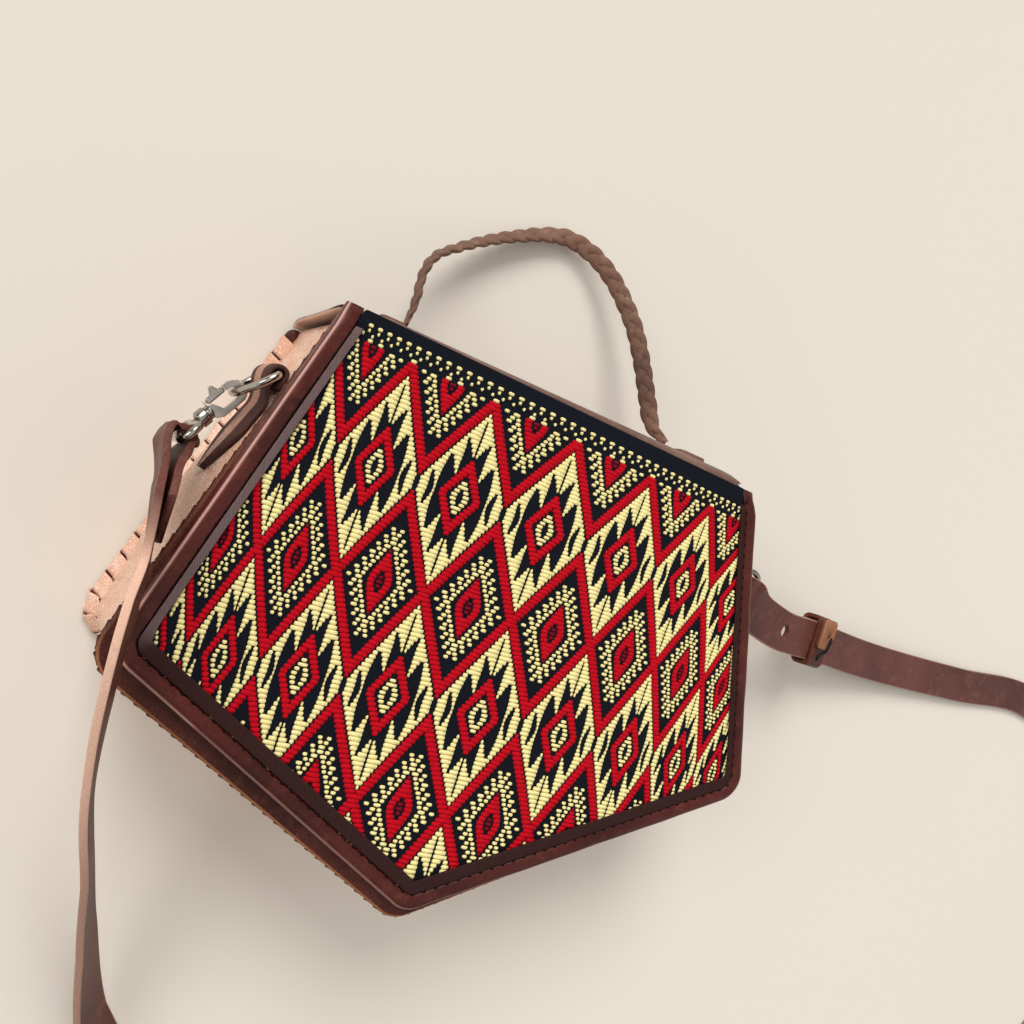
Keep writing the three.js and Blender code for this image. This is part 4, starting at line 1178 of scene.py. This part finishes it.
def float_paths(pile):
    paths = []
    facing = np.tile([0.0, 0.0, 1.0], (5, 1))
    full = np.array([0.42, 0.9, 1, 0.9, 0.42])
    for left, right, y in pile:
        tip = min(FLOAT_ROUND, (right - left) / 2) * 0.42
        x = np.array([left, left + tip, (left + right) / 2, right - tip, right])
        z = FLOAT_Z + FLOAT_CROWN * np.array([-0.8, 0.2, 1, 0.2, -0.8])
        paths.append((np.column_stack([*drifted(x, np.full(5, y)), z]), facing, full))
    return paths


for float_name, (float_width, float_height, float_finish) in FLOAT_SIZES.items():
    piece = threads(float_name, float_paths(floats[float_name]), float_width, float_height, 6, float_finish)
    settle(piece, "woven_cloth")

cloth_spread = inset(FLAP_CORNERS, FLAP_EDGE, 0)

# %% [markdown]
# ## Handle
# The handle is a flat plait of three thongs. Each thong swings from side to
# side and passes over and under the others twice in each swing, a third of a
# turn apart. Their paths come from two sines on the handle's own curve, and the
# thread tree gives each its flat section.

# %% Plaited handle
# Each row: x, y, z and the turn from standing on edge to lying flat
HANDLE = [
    (-56.8, 85.3, 29.5, -11), (-55.5, 90.2, 27.5, -12), (-54.3, 96.7, 24, -16), (-53.3, 106, 19, -11),
    (-49.5, 115, 14, 5), (-40.5, 123.5, 9.5, 19), (-29.9, 131.8, 6.6, 30), (-17.7, 139.8, 4.6, 42),
    (-7.7, 145.3, 3.6, 58), (1.4, 148.1, 4, 85), (11.9, 146.7, 6, 111), (20.8, 141.8, 9, 122),
    (27.4, 135.4, 12, 125), (34.6, 125.8, 16, 127), (40.9, 113.4, 20, 127), (46.1, 101.1, 23.5, 127),
    (50.8, 90.7, 27, 125), (56.4, 86.8, 30, 120),
]
PLAIT_STEPS, PLAIT_LENGTH = 20, 19.0
PLAIT_SWING, PLAIT_LIFT = 1.4, 0.42
THONG_WIDTH, THONG_HEIGHT = 4.4, 2.2
# Length over which the plait draws together at each end, and its last fullness
PLAIT_DRAWN, PLAIT_END = 14.0, 0.5


def plait_paths():
    rows = np.array(HANDLE, float)
    centres, tangents = spline(rows[:, :3], PLAIT_STEPS)
    turns = np.interp(row_places(rows, centres), np.arange(len(rows)), rows[:, 3])
    side = turned(tangents, turns)
    out = unit(np.cross(side, tangents))
    far = distances(centres)
    drawn = soft_step(np.minimum(far, far[-1] - far), 0, PLAIT_DRAWN)
    full = PLAIT_END + (1 - PLAIT_END) * drawn
    paths = []
    for strand in range(3):
        phase = 2 * np.pi * (far / PLAIT_LENGTH + strand / 3)
        swing, lift = PLAIT_SWING * full * np.sin(phase), PLAIT_LIFT * np.sin(2 * phase)
        points = centres + side * swing[:, None] + out * lift[:, None]
        paths.append((points, out, full))
    return paths


plait = threads("handle_plait", plait_paths(), THONG_WIDTH, THONG_HEIGHT, 10, braid_leather)
settle(plait, "braid_leather", "handle_braid")

# %% Handle tabs
# Each tab: the middle of its length, and its length
HANDLE_TABS = {"handle_tab_left": (-62.6, 9), "handle_tab_right": (66.2, 13)}
HANDLE_TAB_WIDTH, HANDLE_TAB_WALL, HANDLE_TAB_Z = 8, 2, 33
HANDLE_TAB_ROUND, HANDLE_TAB_SOFT = 2.4, 0.6


def rounded_box(width, height, corner, steps=6):
    """A rounded rectangle as points and outward normals."""
    points, normals = [], []
    for k, (sx, sy) in enumerate(((1, 1), (-1, 1), (-1, -1), (1, -1))):
        for angle in np.radians(np.linspace(0, 90, steps + 1) + 90 * k):
            normal = np.array([math.cos(angle), math.sin(angle)])
            centre = np.array([sx * (width / 2 - corner), sy * (height / 2 - corner)])
            points.append(centre + normal * corner)
            normals.append(normal)
    return np.array(points), np.array(normals)


for tab_name, (tab_x, tab_length) in HANDLE_TABS.items():
    tab_rail = rounded_box(tab_length, HANDLE_TAB_WIDTH, HANDLE_TAB_ROUND)
    tab_rings, _ = slab(*tab_rail, 0, HANDLE_TAB_WALL, HANDLE_TAB_SOFT)
    tab_points, tab_faces, tab_uv = loft(tab_rings)
    seat = ARCH_CROWN + ARCH_WALL / 2 + SEAM_GAP + tab_x * ARCH_LEAN
    rise = tab_points[:, 2] + tab_points[:, 0] * ARCH_LEAN
    tab_points = np.column_stack([tab_points[:, 0] + tab_x, seat + rise, HANDLE_TAB_Z - tab_points[:, 1]])
    tab = make_piece(f"{tab_name}_leather", (tab_points, tab_faces, tab_uv), braid_leather)
    settle(tab, "binding_leather", tab_name)

# %% [markdown]
# ## Side tabs
# On each side a strip of leather is folded round a metal ring, laid back on
# itself and fixed to the gusset, with a pointed end. The strip follows a table
# of places along the gusset and out from it, and leans on the gusset's bulge.

# %% Side tabs
# Each row: along the gusset from the mouth, and out from its face
TAB = [
    (57, 1.15), (46, 1.15), (36, 1.15), (31.5, 1.3), (28.6, 2.6), (26, 4.6), (24.2, 5.6),
    (22.5, 5.95), (20.7, 5.3), (20, 3.5), (20.7, 1.75), (22.5, 1.15), (26.2, 1.15),
]
TAB_WIDTH, TAB_WALL, TAB_Z = 19, 1.7, 33
TAB_TIP_LENGTH, TAB_TIP_WIDTH = 14, 4
# Each side: its run of the gusset, how far ring and hook turn from it, and how
# far the eye rolls
SIDES = {"left": (0, 26, 13, 0), "right": (3, 45, 54, 90)}


def on_gusset(run, along, out, z):
    top, low = GUSSET_CORNERS[[0, 1] if run == 0 else [4, 3]]
    length = np.linalg.norm(low - top)
    heading = (low - top) / length
    normal = np.array([heading[1], -heading[0]]) * (1 if run == 0 else -1)
    part = along / length if run == 0 else 1 - along / length
    return top + heading * along + normal * (out + float(gusset_bulge(run, part, z)))


def side_tab_rings(run):
    rows, tangents = spline([(a, o, 0) for a, o in TAB], 8)
    section, marks = band_section(1, TAB_WALL, 0.3, 8)
    rings = []
    for k, (row, tangent) in enumerate(zip(rows, tangents)):
        taper = np.clip((TAB[0][0] - row[0]) / TAB_TIP_LENGTH, 0, 1)
        width = TAB_TIP_WIDTH + (TAB_WIDTH - TAB_TIP_WIDTH) * taper if k < len(rows) / 2 else TAB_WIDTH
        ring = []
        for across, out in section:
            z = TAB_Z + across * width
            flat = on_gusset(run, row[0] + tangent[1] * out, row[1] - tangent[0] * out, z)
            ring.append((*flat, z))
        rings.append(ring)
    return np.array(rings), np.tile(marks, len(rings))


for side_name, (side_run, *_) in SIDES.items():
    side_rings, side_marks = side_tab_rings(side_run)
    side_tab = make_piece(f"{side_name}_tab_leather", loft(side_rings), tab_leather, side_marks)
    settle(side_tab, "tab_leather", f"{side_name}_tab")

# %% [markdown]
# ## Metal
# A ring of wire hangs in each tab, and a swivel hook clips to it: a wire eye
# for the strap, a turned barrel, a flat hook and a spring gate. Wires are round
# sections swept round closed outlines, the barrel is spun, and hook and gate
# are outlines with thickness whose edges a Bevel modifier rounds. The gate is
# the one piece that turns, so it rides on its own body.

# %% Wire and hook shapes
RING_WIRE, RING_LENGTH, RING_HALF = 1.15, 12.4, 13.1
RING_OUTLINE = [(0, 0.78), (0.12, 1), (0.5, 0.97), (0.87, 0.58)]
EYE_WIRE, EYE_HALF, EYE_BACK, EYE_NECK, EYE_STEM = 1.2, 10.8, 5.8, 7, 1.3
EYE_OUTLINE = [(0, 0.86), (0.25, 1), (0.82, 1), (1.04, 0.86)]
BARREL = [
    (7.3, 0.02), (7.3, 1.9), (7.45, 2.1), (8, 2.7), (10.5, 2.7),
    (10.7, 2.55), (11, 2.1), (12.2, 2.1), (12.8, 1.4), (12.8, 0.02),
]
HOOK_START, HOOK_END, HOOK_OUT, HOOK_INNER = 12, 24.6, 3.6, 1.8
HOOK_INNER_END, HOOK_WALL, HOOK_NOSE, HOOK_CONTACT = 22.4, 3.2, 19.4, 20.6
GATE_PIVOT, GATE_TIP, GATE_Y, GATE_HALF, GATE_WALL = 13.6, 19.1, 2.7, 0.9, 2.4
GATE_NUB, GATE_NUB_HEIGHT = 16.2, 2
FOLD = (22.5, 3.5)


def arc(x, y, radius, start, stop, steps=20):
    angles = np.radians(np.linspace(start, stop, steps + 1))
    return [(x + radius * math.cos(a), y + radius * math.sin(a)) for a in angles]


def wire_loop(shares, length, half, radius, sides=14):
    upper = [(x * length, 0, z * half) for x, z in shares]
    lower = [(x, 0, -z) for x, _, z in upper[::-1]]
    centres, tangents = spline([(0, 0, 0), *upper, (length, 0, 0), *lower], 10, True)
    angles = np.linspace(0, 2 * np.pi, sides, endpoint=False)
    section = np.column_stack([np.cos(angles), np.sin(angles)]) * radius
    across = np.tile([0.0, 1.0, 0.0], (len(centres), 1))
    return loft(sweep(centres, tangents, across, section), True)


def spun(profile, sides=36):
    angles = np.linspace(0, 2 * np.pi, sides, endpoint=False)
    return loft([[(x, r * math.cos(a), r * math.sin(a)) for a in angles] for x, r in profile])


def cut_plate(outline, wall):
    flat = np.array(outline)
    rings = [np.column_stack([flat, np.full(len(flat), z)]) for z in (-wall / 2, wall / 2)]
    return loft(rings)


def hook_outline():
    recess = GATE_Y - GATE_HALF - 0.4
    return [
        (HOOK_START, -2.5), (HOOK_START + 2, -HOOK_OUT),
        *arc(HOOK_END - HOOK_OUT, 0, HOOK_OUT, -90, 90),
        (HOOK_NOSE, HOOK_OUT), (HOOK_NOSE, HOOK_INNER),
        *arc(HOOK_INNER_END - HOOK_INNER, 0, HOOK_INNER, 90, -90),
        (GATE_PIVOT + 2, -HOOK_INNER), (GATE_PIVOT + 0.2, recess), (GATE_PIVOT - 1.4, recess),
        (GATE_PIVOT - 1.4, HOOK_OUT), (HOOK_START, 2.5),
    ]


def gate_outline(shift=0.0):
    top = GATE_Y + GATE_HALF
    rows = [
        *arc(GATE_PIVOT, GATE_Y, GATE_HALF, 90, 270, 12),
        (GATE_TIP, GATE_Y - GATE_HALF), (GATE_TIP, top), (GATE_NUB + 1.6, top),
        (GATE_NUB + 1, top + GATE_NUB_HEIGHT), (GATE_NUB - 0.2, top + GATE_NUB_HEIGHT),
        (GATE_NUB - 1.4, top),
    ]
    return [(x + shift, y - shift) for x, y in rows]


def swivel_eye():
    loop = wire_loop(EYE_OUTLINE, EYE_BACK, EYE_HALF, EYE_WIRE)
    return join_parts(loop, spun([(EYE_BACK, EYE_STEM), (EYE_NECK + 0.6, EYE_STEM)]))


def turned_part(part, at, heading, roll=0.0):
    """Rolls a part about its own x axis, turns it about z and moves it."""
    points, faces, uv = part
    turn = Matrix.Rotation(heading, 3, "Z") @ Matrix.Rotation(roll, 3, "X")
    return points @ np.array(turn).T + np.asarray(at), faces, uv


# %% Metal pieces
METAL_BEVEL, BEVEL_FROM = 0.45, 40


def metal_piece(name, part, node, bevel=False, body="bag"):
    piece = make_piece(name, part, nickel)
    if bevel:
        modifier = piece.modifiers.new("soft_edges", "BEVEL")
        modifier.width = METAL_BEVEL * MM
        modifier.segments = 3
        modifier.limit_method = "ANGLE"
        modifier.angle_limit = math.radians(BEVEL_FROM)
        modifier.harden_normals = True
        plain_mesh(piece)
    settle(piece, "nickel", node, body=body)


def side_metal(side):
    run, ring_turn, hook_turn, roll = SIDES[side]
    fold = on_gusset(run, *FOLD, TAB_Z)
    ahead = on_gusset(run, TAB[0][0], 0, 0) - on_gusset(run, FOLD[0], 0, 0)
    sign = -1 if run == 0 else 1
    base = math.atan2(ahead[1], ahead[0])
    ring_heading = base + sign * math.radians(ring_turn)
    hook_heading = base + sign * math.radians(hook_turn)
    ring = wire_loop(RING_OUTLINE, RING_LENGTH, RING_HALF, RING_WIRE)
    ring = turned_part(ring, (*fold, TAB_Z), ring_heading)
    metal_piece(f"{side}_ring_wire", ring, f"{side}_ring")
    eye = fold + RING_LENGTH * np.array([math.cos(ring_heading), math.sin(ring_heading)])
    eye = eye + HOOK_CONTACT * np.array([math.cos(hook_heading), math.sin(hook_heading)])
    at, heading = (*eye, TAB_Z), hook_heading + math.pi
    hook = join_parts(cut_plate(hook_outline(), HOOK_WALL), spun(BARREL))
    if run == 0:
        metal_piece("left_eye_wire", turned_part(swivel_eye(), at, heading), "left_swivel_eye")
        metal_piece("left_hook_plate", turned_part(hook, at, heading), "left_hook", True)
        gate = cut_plate(gate_outline(), GATE_WALL)
        metal_piece("left_gate_lever", turned_part(gate, at, heading), "left_gate", True, "gate")
    else:
        wire = turned_part(swivel_eye(), (0, 0, 0), 0, math.radians(roll))
        whole = join_parts(hook, wire, cut_plate(gate_outline(0.6), GATE_WALL))
        metal_piece("right_hook_plate", turned_part(whole, at, heading), "right_hook", True)
    return np.array(at), heading


left_eye, right_eye = side_metal("left"), side_metal("right")
print("left eye at", left_eye[0].round(1), "right eye at", right_eye[0].round(1))

# %% [markdown]
# ## Strap
# A strap of firm leather loops through the left eye in two plies, rises over
# the bag's left corner standing on edge, falls to the floor and turns flat on
# its way round to the keeper. Its cut edges are pale. It is one flat section
# swept along the same table as its solid, with the edge marks from the section.

# %% Strap
STRAP_WIDTH, STRAP_WALL, STRAP_SOFT = 18, 2.2, 0.35
STRAP_STEPS = 10
LOOP_RADIUS, LOOP_CLIMB, LOOP_ANGLES = 3.4, 1, (110, 60, 0, -60, -110)
# Each row: x, y, z and the turn from standing on edge to lying flat
STRAP_PLY = [
    (-109.4, 5, 56.2, -8), (-109.3, 10, 49.6, -5), (-109.3, 17, 41.2, 3),
]
STRAP_RUN = [
    (-112.6, 17, 41, 4), (-112.2, 9, 50.5, 8), (-112, -6.2, 68, 13.5), (-112.5, -16, 74.5, 15),
    (-112.1, -26, 76, 13.5), (-108.8, -46.9, 68.5, 13), (-102.4, -73, 54, 9), (-94.2, -95.6, 40, 8),
    (-84.3, -123.7, 25, 15), (-68.9, -161.5, 10.5, 28), (-48, -190, 4.2, 78), (-14, -208, 1.5, 90),
    (46, -217, 1.2, 90), (122, -218, 1.2, 90), (208, -213, 1.2, 90), (292, -206, 1.2, 90),
    (370, -198, 1.2, 90), (438, -185, 1.2, 90), (488, -158, 1.2, 90), (513, -112, 1.2, 90),
    (511, -60, 1.2, 90), (486, -10, 1.2, 90), (442, 31, 1.2, 90), (382.2, 46.7, 1.2, 90),
    (318.4, 41.5, 2.4, 90), (261.1, 37.6, 5.6, 90), (222.9, 36, 10.4, 90), (190, 35.8, 16.4, 90),
    (168, 35.6, 20.6, 90),
]
# How pale the cut edge is: row of the whole strap, and share
STRAP_PALE = [(0, 0), (9.3, 0), (9.8, 0.3), (10.4, 1), (13.5, 1), (15, 0.5), (18, 0.35), (21, 0.25)]
strap_section, strap_cut = band_section(STRAP_WIDTH, STRAP_WALL, STRAP_SOFT, 10)


def strap_rows():
    at, heading = left_eye
    loop = []
    for angle in LOOP_ANGLES:
        way = heading - math.radians(angle)
        x, y = at[0] + LOOP_RADIUS * math.cos(way), at[1] + LOOP_RADIUS * math.sin(way)
        loop.append((x, y, at[2] + LOOP_CLIMB * (angle / LOOP_ANGLES[0]) ** 2, 0))
    return np.array([*STRAP_PLY, *loop, *STRAP_RUN], float)


def strap_piece():
    rows = strap_rows()
    centres, tangents = spline(rows[:, :3], STRAP_STEPS)
    turns = np.interp(row_places(rows, centres), np.arange(len(rows)), rows[:, 3])
    rings = sweep(centres, tangents, turned(tangents, turns), strap_section)
    pale = np.interp(row_places(rows, centres), *np.array(STRAP_PALE).T)
    marks = (pale[:, None] * strap_cut).ravel()
    length = np.linalg.norm(np.diff(centres, axis=0), axis=1).sum()
    print("strap", round(length), "mm long")
    return make_piece("strap_band", loft(rings), strap_leather, marks)


settle(strap_piece(), "strap_leather", "strap")

# %% [markdown]
# ## Tongue, keeper and tag
# At the right the strap meets a short tongue that loops through the other eye
# and has one punched hole. A dark leather keeper holds both together, and a tan
# tag is tied on it with a black lace. The holes are punched with a Boolean
# modifier and turned into plain mesh at once.

# %% Tongue
TONGUE_PLY = [(134, 36.6, 26.6), (125, 38.4, 28.6)]
TONGUE_RUN = [
    (126, 38.2, 33.6), (137, 36.2, 30.8), (150, 34.8, 28), (165, 35.2, 24.6),
    (178, 35.8, 21.6), (186.5, 36, 19.8),
]
TONGUE_ACROSS = np.array([(0.33, 0.94, 0), (0, 1, 0)])
TONGUE_PALE, TONGUE_HOLE, TONGUE_HOLE_AT = 0.4, 2.7, (150, 34.8, 28)
PUNCH_DEPTH, TAG_PUNCH_DEPTH = 12, 8


def punch(piece, radius, at, depth, sides=32):
    """Cuts a round hole through a piece along z."""
    angles = np.linspace(0, 2 * np.pi, sides, endpoint=False)
    circle = np.column_stack([radius * np.cos(angles), radius * np.sin(angles)])
    rings = [np.column_stack([circle, np.full(sides, z)]) + np.asarray(at) for z in (-depth / 2, depth / 2)]
    cutter = make_piece("cutter", loft(rings), piece.data.materials[0], np.ones(2 * sides))
    modifier = piece.modifiers.new("hole", "BOOLEAN")
    modifier.operation = "DIFFERENCE"
    modifier.solver = "EXACT"
    modifier.object = cutter
    plain_mesh(piece)
    bpy.data.objects.remove(cutter)
    return piece


def tongue_piece():
    at, heading = right_eye
    loop = []
    for angle in LOOP_ANGLES:
        reach = LOOP_RADIUS * math.cos(math.radians(angle))
        drop = LOOP_RADIUS * math.sin(math.radians(angle))
        x, y = at[0] + reach * math.cos(heading), at[1] + reach * math.sin(heading)
        loop.append((x, y, at[2] - drop))
    rows = np.array([*TONGUE_PLY, *loop, *TONGUE_RUN], float)
    centres, tangents = spline(rows, STRAP_STEPS)
    loop_end = len(TONGUE_PLY) + len(LOOP_ANGLES)
    share = soft_step(row_places(rows, centres), loop_end, len(rows) - 1)[:, None]
    across = unit(TONGUE_ACROSS[0] * (1 - share) + TONGUE_ACROSS[1] * share)
    rings = sweep(centres, tangents, across, strap_section)
    marks = np.tile(strap_cut, len(rings)) * TONGUE_PALE
    return make_piece("tongue_band", loft(rings), strap_leather, marks)


tongue = punch(tongue_piece(), TONGUE_HOLE, TONGUE_HOLE_AT, PUNCH_DEPTH)
settle(tongue, "strap_leather", "strap_tongue")

# %% Keeper, tag and lace
KEEPER_AT, KEEPER_HEADING, KEEPER_PITCH = (177.8, 35.8, 20.1), 1, 11.6
# How much of the keeper's cut edge shows bare
KEEPER_RAW = 0.08
KEEPER_LENGTH, KEEPER_WIDTH, KEEPER_HEIGHT, KEEPER_WALL, KEEPER_ROUND = 11, 23.4, 9.8, 1.8, 3
TAG_LENGTH, TAG_WIDTH, TAG_WALL, TAG_SHIFT, TAG_ROUND, TAG_HOLE = 11.5, 14, 1.6, 4.2, 2, 1.3
# The tag's lace: along and across the keeper, and up from the tag's face
LACE = [(1.4, 3.4, 1.3), (0.7, 0.6, 1.6), (-0.4, -2.8, 1.5), (-1.6, -5.4, -0.3), (-2.4, -8, -0.5)]
LACE_RADIUS = 1
keeper_turn = Matrix.Rotation(math.radians(KEEPER_HEADING), 3, "Z")
keeper_turn = keeper_turn @ Matrix.Rotation(math.radians(KEEPER_PITCH), 3, "Y")


def at_keeper(points):
    return np.asarray(points) @ np.array(keeper_turn).T + KEEPER_AT


def keeper_piece():
    width, height = KEEPER_WIDTH - KEEPER_WALL, KEEPER_HEIGHT - KEEPER_WALL
    flat, normals = rounded_box(width, height, KEEPER_ROUND - KEEPER_WALL / 2)
    section, marks = band_section(KEEPER_LENGTH, KEEPER_WALL, 0.4, 6)
    rings = []
    for at, normal in zip(flat, normals):
        out = at + normal * section[:, 1:]
        rings.append(np.column_stack([section[:, 0], out]))
    points, faces, uv = loft(rings, True)
    marks = np.tile(marks, len(rings)) * KEEPER_RAW
    return make_piece("keeper_loop", (at_keeper(points), faces, uv), panel_leather, marks)


def tag_piece():
    low = KEEPER_HEIGHT / 2 + SEAM_GAP
    flat, normals = rounded_box(TAG_LENGTH, TAG_WIDTH, TAG_ROUND)
    rings, marks = slab(flat + [0, TAG_SHIFT], normals, low, low + TAG_WALL, 0.35)
    piece = make_piece("tan_tag", loft(rings), tag_leather, marks)
    punch(piece, TAG_HOLE, (*LACE[0][:2], low), TAG_PUNCH_DEPTH, 20)
    piece.data.transform(Matrix.Translation(Vector(KEEPER_AT) * MM) @ keeper_turn.to_4x4())
    return piece


def lace_piece():
    top = KEEPER_HEIGHT / 2 + SEAM_GAP + TAG_WALL
    centres, _ = spline([(x, y, z + top) for x, y, z in LACE], 10)
    full = np.minimum(1, 0.6 + np.minimum(np.arange(len(centres)), np.arange(len(centres))[::-1]) * 0.1)
    facing = np.tile(np.array(keeper_turn) @ np.array([0.0, 0.0, 1.0]), (len(centres), 1))
    path = (at_keeper(centres), facing, full)
    return threads("tag_lace", [path], 2 * LACE_RADIUS, 1.5 * LACE_RADIUS, 12, lace_leather)


settle(keeper_piece(), "binding_leather", "strap_keeper")
settle(tag_piece(), "tag_leather", "keeper_tag")
settle(lace_piece(), "lace_leather", "keeper_lace")
